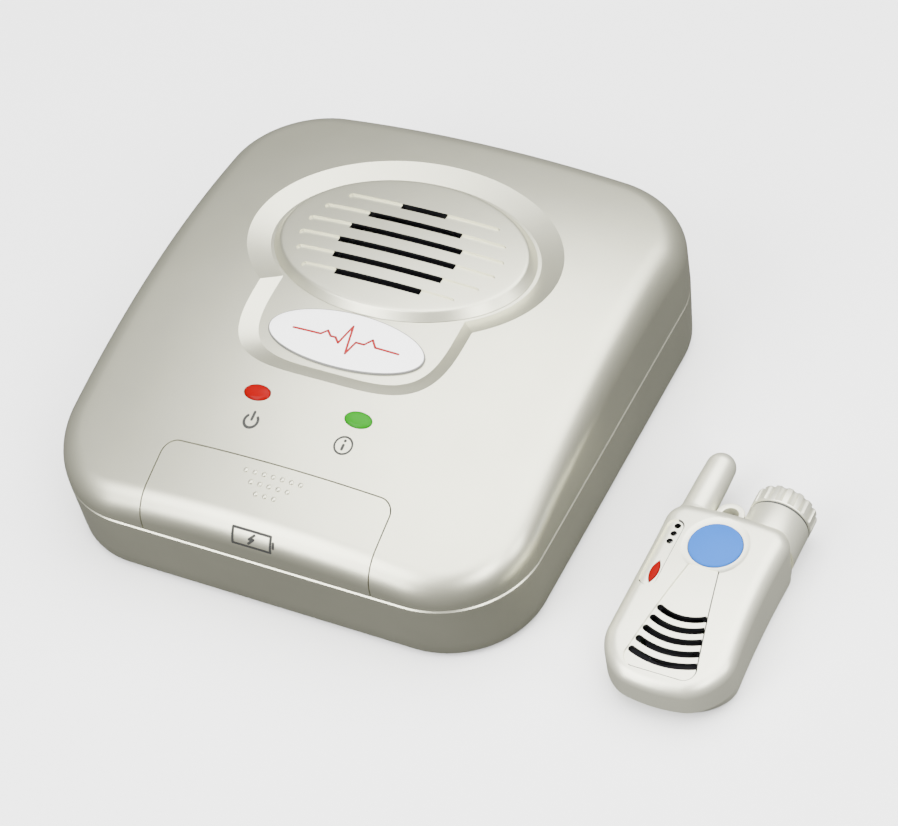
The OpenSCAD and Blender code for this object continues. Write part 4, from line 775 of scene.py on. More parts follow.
class RESPONSE_OT_grille(bpy.types.Operator):
    """Oval grille plate: its slots are open over the sound hole and grooves beyond it; black is painted as
    shade on the open slots' walls and on the plate's underside over the hole
    """
    bl_idname = "response.grille"
    bl_label = "Speaker grille"

    def execute(self, context):
        base, look = base_kit(context)
        paints = [look["case"], look["black_and_hole_shade"]]
        a, b, foot = base.grille_a, base.grille_b, PLATE_LIFT - base.recess
        edge = [(2.6, 2.1, foot), (1.5, 1.25, foot * 0.56), (0.55, 0.5, -0.42 * MM), (0.28, 0.28, -0.16 * MM),
                (-0.1, -0.1, -0.02 * MM), (-0.6, -0.6, 0)]
        sizes = [(a + more_x * MM, b + more_y * MM, drop) for more_x, more_y, drop in edge]
        sizes += [(a * k, b * k, 0) for k in (0.93, 0.84, 0.74, 0.64, 0.54, 0.44, 0.34, 0.24, 0.14, 0.05)]
        bm = bmesh.new()
        loft(bm, [on_crown(base, oval_points(0, base.grille_y, half_x, half_y, PLATE_STEPS), drop)
                  for half_x, half_y, drop in sizes])
        plate = new_object("grille_plate", bm, BASE_AT, paints[:1])
        wear(plate.data, paints)

        def slot(y0, deep):
            def put(x, y, k):
                return x, y0 + y, crown(base, x, y0 + y) + (SLOT_OVER if k else -deep)
            return put
        grooves, holes = bmesh.new(), bmesh.new()
        for i in range(SLOT_ROWS):
            off = (i - (SLOT_ROWS - 1) / 2) * base.slot_pitch
            y0 = base.grille_y - base.slots_front + off
            reach = min(base.slot_half, a * math.sqrt(1 - (off / b) ** 2) - base.slot_margin)
            bar(grooves, reach, base.slot_w, slot(y0, GROOVE_DEEP), 64)
            open_half = math.sqrt(base.sound_r ** 2 - (y0 - base.sound_y) ** 2)
            bar(holes, open_half, base.slot_w, slot(y0, HOLE_DEEP), 24, False, False)
        r = base.sound_r - UNDER_LESS
        under = [(1, -PLATE_UNDER)] + [(k, -PLATE_T) for k in (1, 0.8, 0.6, 0.4, 0.2, 0.05)]
        bm = bmesh.new()
        loft(bm, [on_crown(base, oval_points(0, base.sound_y, r * k, r * k, SOUND_STEPS), drop)
                  for k, drop in under])
        # The plate's thinned underside over the sound hole is painted black: painted shade seen through the
        # slots
        carve(plate, new_object("grille_under", bm, BASE_AT, paints))
        carve(plate, new_object("grille_grooves", grooves, BASE_AT))
        # The walls of the open slots are painted black as painted shade
        carve(plate, new_object("grille_holes", holes, BASE_AT, paints))
        dress(plate, "base", "case_plastic", paints, "speaker_grille")
        return {"FINISHED"}


class RESPONSE_OT_badge(bpy.types.Operator):
    """Bare oval badge with painted shade in a thin dark grey band round its edge"""
    bl_idname = "response.badge"
    bl_label = "Badge plate"

    def execute(self, context):
        base, look = base_kit(context)
        low, line = PLATE_LIFT - base.recess, 0.4 * MM
        rows = [(0, 1, 0), (0, 1, 0.55), (0.12 * MM, 1, 0.85)]
        rows += [(line, k, 1) for k in (1, 0.9, 0.7, 0.5, 0.3, 0.1)]
        rings = []
        for less, k, share in rows:
            places = oval_points(0, -base.badge_y, (base.badge_a - less) * k, (base.badge_b - less) * k,
                                 BADGE_STEPS)
            rings.append(on_crown(base, places, low + base.badge_t * share))
        bm = bmesh.new()
        loft(bm, rings)
        # Faces round the badge's edge take the dark grey finish: painted shade on its rim and side
        for f in bm.faces:
            at = f.calc_center_median()
            across, along = at.x / (base.badge_a - line), (at.y + base.badge_y) / (base.badge_b - line)
            f.material_index = 1 if across ** 2 + along ** 2 > 1 else 0
        badge = new_object("badge_oval", bm, BASE_AT)
        dress(badge, "base", "badge_white", [look["badge"], look["painted_gap_shade"]], "badge_plate")
        return {"FINISHED"}


class RESPONSE_OT_lenses(bpy.types.Operator):
    """Red and green lenses: proud ovals with a flange under the cover"""
    bl_idname = "response.lenses"
    bl_label = "Lenses"

    def execute(self, context):
        base, look = base_kit(context)
        seat, room, steps = -base.wall - 0.3 * MM, 0.15 * MM, 9
        sizes = [(MM, seat - MM), (MM, seat), (-room, seat), (-room, 0)]
        for i in range(steps):
            rise = math.sqrt(1 - (1 - i / steps) ** 2 * LENS_START)
            sizes.append((-room - base.lens_b * LENS_FULL * i / steps, base.lens_proud * rise))
        for side, name, node in ((-1, "red", "power_lens"), (1, "green", "info_lens")):
            rows = []
            for grow, height in sizes:
                places = oval_points(side * base.lens_x, -base.lens_y, base.lens_a + grow, base.lens_b + grow,
                                     LENS_STEPS)
                rows.append(on_crown(base, places, height))
            bm = bmesh.new()
            loft(bm, rows)
            dress(new_object(name + "_lens", bm, BASE_AT), "base", "lens_" + name, [look[name]], node)
        return {"FINISHED"}


def roll_place(base, x, turn, out):
    """A point that far out of the front roll, at a turn up from the wall."""
    tilt = tilt_at(lambda u, v: crown(base, u, v), Vector((x, -base.half_d)), Vector((0, 1)), base.edge_r)
    meet = -base.half_d + base.edge_r * (1 - math.sin(tilt))
    r = base.edge_r + out
    return (x, base.edge_r - base.half_d - r * math.cos(turn),
            crown(base, x, meet) - base.edge_r * math.cos(tilt) + r * math.sin(turn))


def strokes(bm, points, width, place, columns=12):
    """Printed strokes with round ends along the straight lines between points, laid on by place."""
    for pair in zip(points, points[1:]):
        a, b = Vector(pair[0]), Vector(pair[1])
        way = (b - a).normalized()
        side = Vector((-way.y, way.x))

        def put(x, y, k, a=a, b=b, way=way, side=side):
            p = (a + b) / 2 + way * x + side * y
            return place(p.x, p.y, k)
        bar(bm, (b - a).length / 2 + width / 2, width, put, columns)


class RESPONSE_OT_signs(bpy.types.Operator):
    """Printed signs: power, information and battery, and a pulse line on the badge"""
    bl_idname = "response.signs"
    bl_label = "Printed signs"

    def execute(self, context):
        base, look = base_kit(context)
        line, thin, pulse = 0.85 * MM, 0.6 * MM, 0.7 * MM
        power, power_r = Vector((-14 * MM, -47.2 * MM)), 2.1 * MM
        info, info_r = Vector((15.4 * MM, -46.9 * MM)), 2.6 * MM
        wide, tall, box_line, knob, turn = 6 * MM, 2.5 * MM, 0.8 * MM, 0.9 * MM, math.radians(26)

        def film(k):
            return SIGN_FILM if k else -SIGN_ROOT

        def on_top(x, y, k):
            return x, y, crown(base, x, y) + film(k)

        def ring(at, r):
            def put(x, y, k):
                return on_top(at.x + (r + y) * math.sin(x / r), at.y - (r + y) * math.cos(x / r), k)
            return put

        def upright(at, low, high):
            strokes(bm, (at + Vector((0, low * MM)), at + Vector((0, high * MM))), line, on_top)
        bm = bmesh.new()
        bar(bm, power_r * 2.5, line, ring(power, power_r), 40)
        upright(power, 0.4, 2.8)
        bar(bm, info_r * math.pi, thin, ring(info, info_r), 56, False, False)
        upright(info, -1.2, 0.1)
        upright(info, 1.4, 1.45)
        dress(new_object("lamp_signs", bm, BASE_AT), "base", "black_plastic", [look["ink"]])

        def on_roll(x, y, k):
            return roll_place(base, x, turn + y / base.edge_r, film(k))
        bm = bmesh.new()
        corners = [(-wide, -tall), (wide, -tall), (wide, tall), (-wide, tall)]
        strokes(bm, corners + corners[:1], box_line, on_roll, 24)
        strokes(bm, [(wide + knob, -box_line), (wide + knob, box_line)], box_line, on_roll)
        strokes(bm, mm(BOLT), box_line, on_roll)
        dress(new_object("charger_sign", bm, BASE_AT), "charger_door", "black_plastic", [look["ink"]])

        def on_badge(x, y, k):
            y -= base.badge_y
            return x, y, crown(base, x, y) + PLATE_LIFT - base.recess + base.badge_t + film(k)
        bm = bmesh.new()
        strokes(bm, mm(PULSE), pulse, on_badge)
        dress(new_object("badge_sign", bm, BASE_AT), "base", "lens_red", [look["pulse"]])
        return {"FINISHED"}


# Shapes of the pendant

PENDANT_GRID = (11.5 * MM, -21.5 * MM, 21.5 * MM, 46, 86)
WAIST, FLARE, FLARE_AT = 0.995, 0.06, 0.25
NECK_FROM, END_CUT = 24.02 * MM, 32 * MM
BACK_TUCK = 4 * MM
LEAF_X = -12.5 * MM
PANEL_STEPS, PANEL_ROWS, PANEL_EASE, PANEL_OVER = 20, 12, 0.1 * MM, 0.3 * MM
PANEL_SHOULDER, VOICE_LESS = 0.15 * MM, 0.2 * MM
BUTTON_PLAY, NECK_PLAY, ANTENNA_GRIP, ANTENNA_CUT = 0.15 * MM, 0.12 * MM, 0.6 * MM, 23.8 * MM
PENDANT_CHAMFER = 0.2 * MM
LINE_OVER, PANEL_BACK = 0.04 * MM, 4
# Points of the strip's outline from which and to which its fine line runs
STRIP_FROM, STRIP_TO = 28, 13
BACK_STEPS, BACK_WELL_R, BACK_WELL = 264, 1.7 * MM, 1.3 * MM
# Radius and height pairs, in millimetres
HALO = [(0, -0.3), (8.3, -0.3), (8.8, -0.26), (9.2, -0.2), (9.7, -0.1), (10.1, 0.02), (10.7, 0.3), (0, 0.3)]
# Inset and height of the back shell's rows, in millimetres, and their share of the tuck
BACK_ROWS = [(2.4, 0, 1), (1.65, 0.18, 0.9), (1.1, 0.6, 0.75), (0.68, 1.2, 0.62), (0.43, 1.8, 0.52),
             (0.35, 2.4, 0.42), (0.35, 4.6, 0.03), (0.5, 4.75, 0)]
BACK_SCREWS = [(12.6, -16.8), (-9.4, 21.6), (-12.2, -17.4)]
# How far out of the collar and along from it, in millimetres
ANTENNA_ROWS = [(-0.75, -4.15), (-0.75, 0), (-0.15, 0), (0, 0.15), (0, 1.75), (-0.1, 2), (-0.25, 2.1),
                (-0.28, 3), (-0.35, 8), (-0.43, 14)]


def pendant_kit(context):
    """Sizes of the pendant, its place and the finishes."""
    pendant = context.scene.response_pendant
    return pendant, pendant_at(pendant), looks(context)


def pendant_at(pendant):
    """Middle of the pendant's body on the table."""
    return Vector(((BUTTON_LOW.x + BUTTON_HIGH.x) / 2, FRONT_LOW.y + pendant.half_l + pendant.low_bulge, 0))


def face(pendant, x, y):
    """Height of the pendant's face, which falls towards the speaker end."""
    fall = max(0.0, pendant.fall_from - y) / (pendant.fall_from + pendant.half_l + pendant.low_bulge)
    return pendant.height + pendant.rise * (1 - (x / pendant.half_w) ** 2) - pendant.fall * fall * fall


def bent(pendant, p):
    """Draws the pendant in at its waist and bulges its ends."""
    u = p.y / pendant.half_l
    bulge = -pendant.low_bulge if u < 0 else pendant.top_bulge
    return Vector((p.x * (WAIST + FLARE * (u - FLARE_AT) ** 2),
                   p.y + bulge * u * u * (1 - (p.x / pendant.half_w) ** 2)))


def pendant_rim(pendant, inset, count):
    """Points round the pendant, moved in, and their inward directions."""
    points, inward = rim(pendant.half_w, pendant.half_l, pendant.top_r, pendant.low_r, count)
    edge = [bent(pendant, p + n * inset) for p, n in zip(points, inward)]
    inner = [bent(pendant, p + n * (inset + MM)) for p, n in zip(points, inward)]
    return edge, [(b - a).normalized() for a, b in zip(edge, inner)]


def pendant_dome(name, pendant, inset=0.0):
    """The pendant's crowned body over its seam, or the space inside it."""
    bm = bmesh.new()
    edge, inward = pendant_rim(pendant, inset, 2 * (PENDANT_GRID[3] + PENDANT_GRID[4]))
    low = pendant.seam - (MM if inset else 0)
    dome(bm, edge, inward, lambda x, y: face(pendant, x, y) - inset, low, pendant.face_r - inset,
         PENDANT_GRID, steps=4, roll=14, chamfer=0.0 if inset else PENDANT_CHAMFER)
    return new_object(name, bm, pendant_at(pendant))


def panel_half(pendant, y):
    """Half width of the sunk panel."""
    share = (pendant.panel_top - y) / (pendant.panel_top - pendant.panel_low - pendant.panel_r)
    return pendant.panel_top_half + (pendant.panel_low_half - pendant.panel_top_half) * share


def panel_line(pendant, grow):
    """Outline of the sunk panel, wider by grow: down its left side and up its right."""
    shoulder = pendant.panel_low + pendant.panel_r
    top, wide = pendant.panel_top_half, pendant.panel_low_half
    shares = [k / PANEL_STEPS for k in range(PANEL_STEPS)]
    left = [(-grow - top - (wide - top) * k, pendant.panel_top + (shoulder - pendant.panel_top) * k)
            for k in shares]
    left += arc(pendant.panel_r - wide, shoulder, pendant.panel_r + grow, 180, 270)
    return left + [(-x, y) for x, y in reversed(left)]


def strip_line(pendant, less):
    """Outline of the sunk strip, smaller by less."""
    half, r = pendant.strip_half - pendant.strip_w / 2, pendant.strip_w / 2 - less
    return (arc(pendant.strip_x, pendant.strip_y + half, r, 0, 180, 24)
            + arc(pendant.strip_x, pendant.strip_y - half, r, 180, 360, 24))


def turned(bm, profile, axis, steps=96):
    """Turns a profile of radius and way pairs round an axis along the pendant."""
    spun(bm, profile, Vector((axis[0], 0, axis[1])), ALONG, steps)


def along_y(bm, axis, low, high, radius):
    """A cylinder along the pendant."""
    turned(bm, [(0, low), (radius, low), (radius, high), (0, high)], axis, 72)


def axis_of(pendant, low, high):
    """Axis of a box along the pendant: across and up."""
    return (low.x + high.x) / 2 - pendant_at(pendant).x, (low.z + high.z) / 2


def neck_room(bm, pendant):
    """Room for the battery neck in a shell."""
    along_y(bm, axis_of(pendant, CAP_LOW, CAP_HIGH), NECK_FROM - 0.1 * MM, END_CUT,
            half_across(TUBE_LOW, TUBE_HIGH) + NECK_PLAY)


def leaf_points(x, y, long, wide, steps=20):
    """Points round a pointed oval made by two equal arcs."""
    r = (long * long + wide * wide) / (4 * wide)
    spread = math.degrees(math.asin(long / 2 / r))
    right = arc(x - (r - wide / 2), y, r, -spread, spread, steps)
    left = arc(x + (r - wide / 2), y, r, 180 - spread, 180 + spread, steps)
    return right[:-1] + left[:-1]


class RESPONSE_OT_pendant_front(bpy.types.Operator):
    """Front shell of the pendant with its sunk panel, strip, halo, sound slots and openings; its slot and
    hole walls are painted black and its fine gaps dark grey, as painted shade
    """
    bl_idname = "response.pendant_front"
    bl_label = "Pendant front"

    def execute(self, context):
        pendant, at, look = pendant_kit(context)
        shell = pendant_dome("front_shell", pendant)
        carve(shell, pendant_dome("front_space", pendant, pendant.wall))
        deep, low, high = pendant.panel_depth, pendant.height / 2, pendant.height + 3 * MM

        def panel(grow, under):
            return [(x, y, face(pendant, x, y) - under) for x, y in panel_line(pendant, grow)]

        def inner(row, under):
            mid = Vector((0, (pendant.panel_top + pendant.panel_low) / 2))
            spots = [mid + (Vector(p) - mid) * (row / PANEL_ROWS) for p in panel_line(pendant, -PANEL_EASE)]
            return [(*p, face(pendant, *p) - under) for p in spots]
        bm = bmesh.new()
        loft(bm, [inner(k, deep) for k in range(1, PANEL_ROWS)]
             + [panel(-PANEL_EASE, deep), panel(0, deep - PANEL_SHOULDER), panel(PANEL_OVER, -PANEL_OVER)]
             + [inner(k, -PANEL_OVER) for k in range(PANEL_ROWS - 1, 0, -1)])
        carve(shell, new_object("panel_cut", bm, at))
        bm = bmesh.new()
        prism(bm, strip_line(pendant, 0), low, high)
        cut = new_object("strip_cut", bm, at)
        carve(cut, pendant_dome("strip_floor", pendant, pendant.strip_depth))
        carve(shell, cut)
        bm = bmesh.new()
        spun(bm, mm(HALO), Vector((0, pendant.button_y, face(pendant, 0, pendant.button_y))), UP)
        carve(shell, new_object("halo_cut", bm, at))
        bm = bmesh.new()
        drum(bm, (0, pendant.button_y), pendant.button_r + BUTTON_PLAY, low, high, 96)
        leaf_at = (LEAF_LOW + LEAF_HIGH) / 2 - at
        prism(bm, leaf_points(LEAF_X, leaf_at.y, pendant.leaf_l, pendant.leaf_w), low, high)
        carve(shell, new_object("face_holes", bm, at))
        bm = bmesh.new()
        for i in (-1, 0, 1):
            drum(bm, (pendant.mic_x, pendant.mic_y + i * pendant.mic_pitch), pendant.mic_r, low, high, 32)
        for i in range(pendant.voice_rows):
            bottom = pendant.voice_first - i * pendant.voice_pitch
            half = panel_half(pendant, bottom + pendant.voice_sag) - VOICE_LESS
            r = (half ** 2 + pendant.voice_sag ** 2) / (2 * pendant.voice_sag)

            def smile(x, y, k, bottom=bottom, r=r):
                return (r - y) * math.sin(x / r), bottom + r - (r - y) * math.cos(x / r), high if k else low
            bar(bm, r * math.asin(half / r), pendant.voice_w, smile, 40, True, False)
        paints = [look["pendant"], look["black_and_hole_shade"], look["painted_gap_shade"]]
        wear(shell.data, paints)
        # The walls of the voice slots and microphone holes are painted black: painted shade
        carve(shell, new_object("sound_cuts", bm, at, paints[:2]))
        outer, line = panel_line(pendant, LINE_OVER), panel_line(pendant, -pendant.line_w)
        start = len(outer) // 2 - PANEL_BACK
        bm = bmesh.new()
        band(bm, outer[start:], line[start:], low, high)
        outer, line = strip_line(pendant, -LINE_OVER), strip_line(pendant, pendant.line_w)
        band(bm, outer[STRIP_FROM:] + outer[:STRIP_TO], line[STRIP_FROM:] + line[:STRIP_TO], low, high)
        cut = new_object("line_cut", bm, at)
        carve(cut, pendant_dome("line_floor", pendant, pendant.line_depth))
        # The fine gaps' sides and floors take the dark grey finish: painted shade in the gaps
        wear(cut.data, paints)
        for side in cut.data.polygons:
            side.material_index = len(paints) - 1
        carve(shell, cut)
        bm = bmesh.new()
        neck_room(bm, pendant)
        along_y(bm, axis_of(pendant, ANTENNA_LOW, ANTENNA_HIGH), ANTENNA_CUT, END_CUT,
                half_across(ANTENNA_LOW, ANTENNA_HIGH) - ANTENNA_GRIP)
        carve(shell, new_object("end_cuts", bm, at))
        dress(shell, "pendant", "pendant_plastic", [], "pendant_front", crease=28)
        return {"FINISHED"}


class RESPONSE_OT_pendant_back(bpy.types.Operator):
    """Back shell of the pendant with its rolled underside and screw wells"""
    bl_idname = "response.pendant_back"
    bl_label = "Pendant back"

    def execute(self, context):
        pendant, at, look = pendant_kit(context)
        rows = []
        for inset, high, tuck in BACK_ROWS:
            edge = pendant_rim(pendant, inset * MM, BACK_STEPS)[0]
            rows.append([(p.x, p.y + tuck * BACK_TUCK * (min(0, p.y) / pendant.half_l) ** 2, high * MM)
                         for p in edge])
        bm = bmesh.new()
        loft(bm, rows)
        back = new_object("back_shell", bm, at)
        bm = bmesh.new()
        neck_room(bm, pendant)
        for place in mm(BACK_SCREWS):
            drum(bm, place, BACK_WELL_R, -MM, BACK_WELL)
        carve(back, new_object("back_cuts", bm, at))
        dress(back, "pendant", "pendant_plastic", [look["pendant"]], "pendant_back", crease=28)
        return {"FINISHED"}


class RESPONSE_OT_button(bpy.types.Operator):
    """Round alert button: a low dome with a rolled edge"""
    bl_idname = "response.button"
    bl_label = "Alert button"

    def execute(self, context):
        pendant, at, look = pendant_kit(context)
        top, r, roll, flange = BUTTON_HIGH.z, pendant.button_r, 0.6 * MM, 0.6 * MM
        low, wide = BUTTON_LOW.z, half_across(BUTTON_LOW, BUTTON_HIGH)
        profile = [(0, low), (wide, low), (wide, low + flange), (r, low + flange), (r, top - 1.35 * MM)]
        profile += [(r - roll * (1 - math.cos(turn)), top - 2 * roll + roll * math.sin(turn))
                    for turn in quarter_turn(6)]
        profile += [((r - roll) * k, top - roll * k * k) for k in (0.9, 0.75, 0.6, 0.45, 0.3, 0.15, 0)]
        bm = bmesh.new()
        spun(bm, profile, Vector((0, pendant.button_y, 0)), UP)
        button = new_object("alert_dome", bm, at)
        dress(button, "alert_button", "button_blue", [look["blue"]], "alert_button")
        return {"FINISHED"}


class RESPONSE_OT_leaf(bpy.types.Operator):
    """Leaf-shaped red lens"""
    bl_idname = "response.leaf"
    bl_label = "Indicator lens"

    def execute(self, context):
        pendant, at, look = pendant_kit(context)
        y, top = (LEAF_LOW.y + LEAF_HIGH.y) / 2 - at.y, LEAF_HIGH.z
        sides = [(0.3, LEAF_LOW.z), (0.3, top - 0.3 * MM), (0.45, top - 0.1 * MM), (0.8, top),
                 (1.4, top + 0.1 * MM)]
        rows = []
        for s, z in sides:
            places = leaf_points(LEAF_X, y, pendant.leaf_l - 2 * s * MM, pendant.leaf_w - s * MM)
            rows.append([(*p, z) for p in places])
        bm = bmesh.new()
        loft(bm, rows)
        dress(new_object("leaf_lens", bm, at), "pendant", "lens_red", [look["leaf"]], "indicator_lens")
        return {"FINISHED"}


class RESPONSE_OT_antenna(bpy.types.Operator):
    """Antenna cover: a collar, a tapered barrel and a round tip"""
    bl_idname = "response.antenna"
    bl_label = "Antenna cover"

    def execute(self, context):
        pendant, at, look = pendant_kit(context)
        foot, tip = ANTENNA_LOW.y - at.y, ANTENNA_HIGH.y - at.y
        start, tip_r, r = foot + 4.15 * MM, 4.4 * MM, half_across(ANTENNA_LOW, ANTENNA_HIGH)
        profile = [(0, foot)] + [(r + s * MM, start + h * MM) for s, h in ANTENNA_ROWS]
        profile += [(tip_r * math.cos(turn), tip - tip_r + tip_r * math.sin(turn))
                    for turn in quarter_turn(12)]
        bm = bmesh.new()
        turned(bm, profile, axis_of(pendant, ANTENNA_LOW, ANTENNA_HIGH), 80)
        cover = new_object("antenna_sleeve", bm, at)
        dress(cover, "pendant", "pendant_plastic", [look["pendant"]], "antenna_cover")
        return {"FINISHED"}


class RESPONSE_OT_neck(bpy.types.Operator):
    """Battery neck with its bore, and the rubber seal at its mouth"""
    bl_idname = "response.neck"
    bl_label = "Battery neck and seal"

    def execute(self, context):
        pendant, at, look = pendant_kit(context)
        axis = axis_of(pendant, CAP_LOW, CAP_HIGH)
        low, high, r = TUBE_LOW.y - at.y, TUBE_HIGH.y - at.y, half_across(TUBE_LOW, TUBE_HIGH)
        root, bore, cell, floor = 5.9 * MM, r - 1.42 * MM, 5.25 * MM, high - 6.1 * MM
        profile = [(0, low), (root, low), (root, NECK_FROM), (r, NECK_FROM), (r, high - 0.3 * MM),
                   (r - 0.08 * MM, high - 0.1 * MM), (r - 0.3 * MM, high), (bore, high), (bore, floor),
                   (cell, floor), (cell, low + MM), (0, low + MM)]
        bm = bmesh.new()
        turned(bm, profile, axis)
        neck = new_object("neck_barrel", bm, at)
        dress(neck, "pendant", "pendant_plastic", [look["pendant"]], "battery_tube")
        first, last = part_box("cap_seal")
        low, high, out = first.y - at.y, last.y - at.y, half_across(first, last)
        hole = out - 0.9 * MM
        bm = bmesh.new()
        turned(bm, [(hole, low), (out, low), (out, high), (hole, high), (hole, low)], axis)
        dress(new_object("neck_seal", bm, at), "pendant", "rubber", [look["seal"]], "cap_seal")
        return {"FINISHED"}


class RESPONSE_OT_cap(bpy.types.Operator):
    """Battery cap with a smooth collar, flutes and a hollow plug"""
    bl_idname = "response.cap"
    bl_label = "Battery cap"

    def execute(self, context):
        pendant, at, look = pendant_kit(context)
        axis, plug = axis_of(pendant, CAP_LOW, CAP_HIGH), 5.5 * MM
        low, high, r = CAP_LOW.y - at.y + plug, CAP_HIGH.y - at.y, half_across(CAP_LOW, CAP_HIGH)
        span, start, count = (high - low) / MM, pendant.flute_from / MM, pendant.flutes * 24
        # How far in and along, in millimetres, and the share of the flutes
        rows = [(1.5, 0, 0), (0.3, 0, 0), (0.08, 0.1, 0), (0, 0.3, 0), (0, start - 0.15, 0), (0, start, 0.25),
                (0, start + 0.15, 0.8), (0, start + 0.4, 1), (0, span - 0.8, 1), (0.25, span - 0.35, 1),
                (0.7, span - 0.06, 0.8), (1.1, span, 0.4), (1.6, span, 0), (r / MM * 0.5, span, 0)]

        def ring(less, along, share):
            places = []
            for i in range(count):
                turn = 2 * math.pi * i / count
                off = (turn * pendant.flutes / (2 * math.pi) + 0.5) % 1 - 0.5
                across = off * 2 * math.pi / pendant.flutes * r
                deep = max(0.0, math.sqrt(max(0.0, pendant.flute_r ** 2 - across ** 2)) - 0.4 * MM)
                out = r - less * MM - share * deep
                places.append((axis[0] + out * math.cos(turn), low + along * MM,
                               axis[1] + out * math.sin(turn)))
            return places
        bm = bmesh.new()
        loft(bm, [ring(*row) for row in rows])
        outer, inner, ease = r - 1.6 * MM, r - 3 * MM, 0.4 * MM
        profile = [(inner, MM), (inner, -plug), (outer - ease, -plug), (outer, ease - plug),
                   (outer, 0.5 * MM), (inner, MM)]
        turned(bm, [(s, low + h) for s, h in profile], axis)
        cap = new_object("cap_fluted", bm, at)
        dress(cap, "battery_cap", "pendant_plastic", [look["pendant"]], "battery_cap")
        return {"FINISHED"}


class RESPONSE_OT_eye(bpy.types.Operator):
    """Lanyard eye: a rounded ring on a stem"""
    bl_idname = "response.eye"
    bl_label = "Lanyard eye"

    def execute(self, context):
        _, at, look = pendant_kit(context)
        x, foot, top = (EYE_LOW.x + EYE_HIGH.x) / 2 - at.x, EYE_LOW.y - at.y, EYE_HIGH.y - at.y
        out, hole = half_across(EYE_LOW, EYE_HIGH), 2.4 * MM
        stem, y, bevel, sharp = out - 0.5 * MM, top - out, 0.7 * MM, 1.2
        swing = math.degrees(math.acos(stem / out))
        outer = arc(x, y, out, -swing, 180 + swing, 44) + [(x - stem, foot), (x + stem, foot)]
        bm = bmesh.new()
        rings = []
        for places in (outer, arc(x, y, hole, 0, 360, 46)[:-1]):
            verts = [bm.verts.new((*p, EYE_LOW.z)) for p in places]
            rings += [bm.edges.new(pair) for pair in zip(verts, verts[1:] + verts[:1])]
        bmesh.ops.bridge_loops(bm, edges=rings)
        grown = bmesh.ops.extrude_face_region(bm, geom=bm.faces[:])["geom"]
        bmesh.ops.translate(bm, vec=(0, 0, EYE_HIGH.z - EYE_LOW.z),
                            verts=[g for g in grown if isinstance(g, bmesh.types.BMVert)])
        bmesh.ops.recalc_face_normals(bm, faces=bm.faces)
        corners = [e for e in bm.edges if len(e.link_faces) == 2 and e.calc_face_angle(0) > sharp
                   and abs(e.verts[0].co.z - e.verts[1].co.z) < MM / 10]
        bmesh.ops.bevel(bm, geom=corners, offset=bevel, offset_type="OFFSET", segments=4, profile=0.5,
                        affect="EDGES", material=-1, clamp_overlap=True)
        eye = new_object("lanyard_ring", bm, at)
        dress(eye, "pendant", "pendant_plastic", [look["pendant"]], "lanyard_eye", crease=50)
        return {"FINISHED"}


# Finishes of the CAD nodes that stay

NODE_LOOKS = {
    "steel": ("speaker_frame", "speaker_screws", "board_screws", "power_pin", "battery_door_screw",
              "case_screws", "microphone", "contact_spring", "pendant_screws"),
    "black_and_hole_shade": ("board_parts", "line_jack", "phone_jack", "power_jack", "alert_switch", "pendant_board",
              "pendant_parts"),
    "brass": ("charger_contacts", "antenna_wire", "cell_contact", "cap_contact"),
    "case": ("charger_tray", "battery_door"),
    "iron": ("speaker_magnet", "voice_speaker"),
    "lamp": ("lamps", "switch_plunger"),
    "wrap": ("backup_battery", "pendant_cell"),
    "board": ("main_board",),
    "cone": ("speaker_cone",),
    "mesh": ("speaker_mesh",),
    "rubber": ("rubber_feet",),
}


class RESPONSE_OT_fittings(bpy.types.Operator):
    """Finishes of the inner parts, sockets, screws and feet"""
    bl_idname = "response.fittings"
    bl_label = "Fittings"

    def execute(self, context):
        look = looks(context)
        for name, nodes in NODE_LOOKS.items():
            for node in nodes:
                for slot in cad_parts[node].material_slots:
                    slot.material = look[name]
        return {"FINISHED"}


# Name, place, width and power of each lamp
LIGHTS = (("overhead", (0.25, 0.25, 1.25), 2.2, 82.0), ("front", (-0.45, -0.8, 0.85), 0.8, 20.0),
          ("key", (0.78, -0.6, 0.66), 0.5, 9.0), ("low", (-0.5, -1.15, 0.34), 0.5, 9.0),
          ("side", (1.05, -0.05, 0.5), 0.4, 5.0))
FLOOR_HALF, FLOOR_Z = 4, -0.0002
SKY = 0.13
CAMERA_AT, CAMERA_LENS = (0.323285, -0.4902, 0.6376), 117.95
CAMERA_RIGHT, CAMERA_UP = (0.8908, 0.4343, -0.1340), (-0.2398, 0.6996, 0.6732)
CAMERA_BACK = (0.3861, -0.5675, 0.7273)


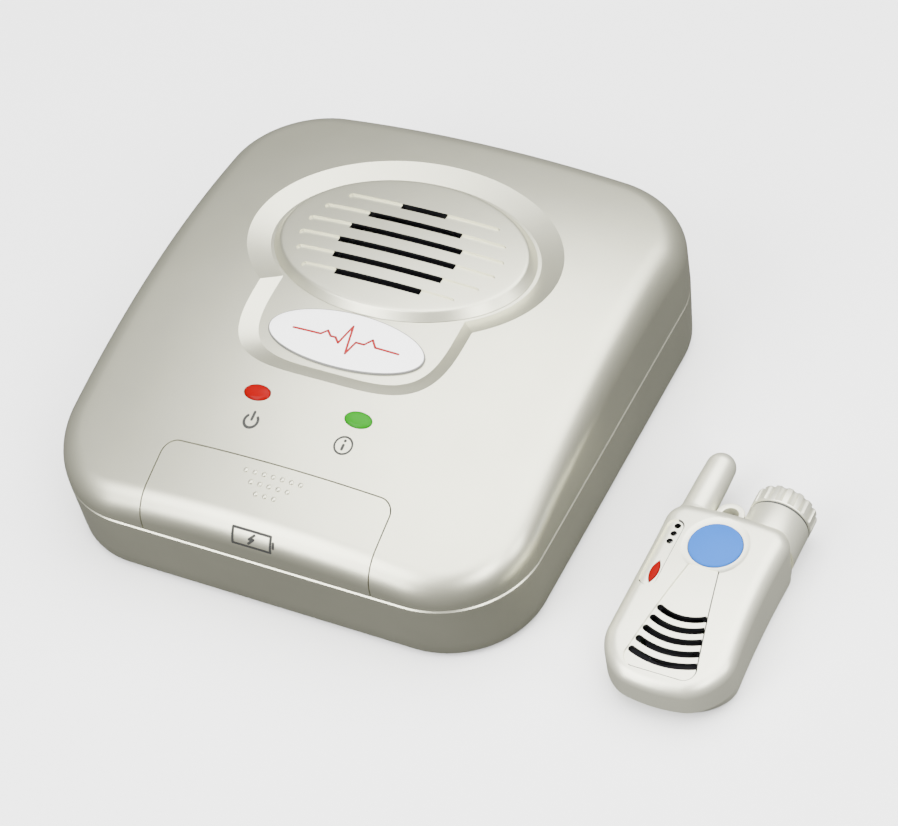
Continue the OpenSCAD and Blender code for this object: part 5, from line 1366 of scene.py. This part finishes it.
class RESPONSE_OT_stage(bpy.types.Operator):
    """Pale floor, soft studio light and the camera at the photograph's viewing angle"""
    bl_idname = "response.stage"
    bl_label = "Stage"

    def execute(self, context):
        scene = context.scene
        bm = bmesh.new()
        bmesh.ops.create_grid(bm, x_segments=1, y_segments=1, size=FLOOR_HALF)
        floor = new_object("floor", bm, Vector((0, 0, FLOOR_Z)))
        wear(floor.data, [finish("floor_white", scene.response_finishes.floor, 0.9, mottle=0.004)])
        floor.visible_diffuse = False
        floor.visible_glossy = False
        for name, at, size, energy in LIGHTS:
            light = bpy.data.lights.new(name, "AREA")
            light.shape = "DISK"
            light.size = size
            light.energy = energy
            lamp = bpy.data.objects.new(name, light)
            lamp.location = at
            lamp.rotation_euler = (-Vector(at)).to_track_quat("-Z", "Y").to_euler()
            scene.collection.objects.link(lamp)
        world = bpy.data.worlds.new("studio")
        world.use_nodes = True
        sky = world.node_tree.nodes["Background"]
        sky.inputs["Color"].default_value = (1, 1, 1, 1)
        sky.inputs["Strength"].default_value = SKY
        scene.world = world
        camera = bpy.data.objects.new("camera", bpy.data.cameras.new("camera"))
        camera.data.sensor_fit = "HORIZONTAL"
        camera.data.sensor_width = 36
        camera.data.lens = CAMERA_LENS
        turn = Matrix((CAMERA_RIGHT, CAMERA_UP, CAMERA_BACK)).transposed().to_4x4()
        camera.matrix_world = Matrix.Translation(CAMERA_AT) @ turn
        scene.collection.objects.link(camera)
        scene.camera = camera
        return {"FINISHED"}


PIECES = [RESPONSE_OT_cover, RESPONSE_OT_door, RESPONSE_OT_lower_case, RESPONSE_OT_grille, RESPONSE_OT_badge,
          RESPONSE_OT_lenses, RESPONSE_OT_signs, RESPONSE_OT_pendant_front, RESPONSE_OT_pendant_back,
          RESPONSE_OT_button, RESPONSE_OT_leaf, RESPONSE_OT_antenna, RESPONSE_OT_neck, RESPONSE_OT_cap,
          RESPONSE_OT_eye, RESPONSE_OT_fittings, RESPONSE_OT_stage]


class RESPONSE_PT_panel(bpy.types.Panel):
    """Lists the pieces of the set and their sizes"""
    bl_label = "Emergency response set"
    bl_idname = "RESPONSE_PT_panel"
    bl_space_type = "VIEW_3D"
    bl_region_type = "UI"
    bl_category = "Response set"

    def draw(self, context):
        for piece in PIECES:
            self.layout.operator(piece.bl_idname)
        scene = context.scene
        for group in (scene.response_base, scene.response_pendant, scene.response_finishes):
            column = self.layout.column()
            for name in group.__annotations__:
                column.prop(group, name)


CLASSES = [BaseSizes, PendantSizes, Finishes, *PIECES, RESPONSE_PT_panel]


def register():
    """Adds the sizes, finishes, operators and panel to Blender."""
    for each in CLASSES:
        bpy.utils.register_class(each)
    bpy.types.Scene.response_base = PointerProperty(type=BaseSizes)
    bpy.types.Scene.response_pendant = PointerProperty(type=PendantSizes)
    bpy.types.Scene.response_finishes = PointerProperty(type=Finishes)


def unregister():
    """Takes them out again."""
    del bpy.types.Scene.response_base
    del bpy.types.Scene.response_pendant
    del bpy.types.Scene.response_finishes
    for each in reversed(CLASSES):
        bpy.utils.unregister_class(each)


def main():
    """Builds every piece and the stage."""
    register()
    for piece in PIECES:
        group, name = piece.bl_idname.split(".")
        getattr(getattr(bpy.ops, group), name)()


if __name__ == "__main__":
    main()
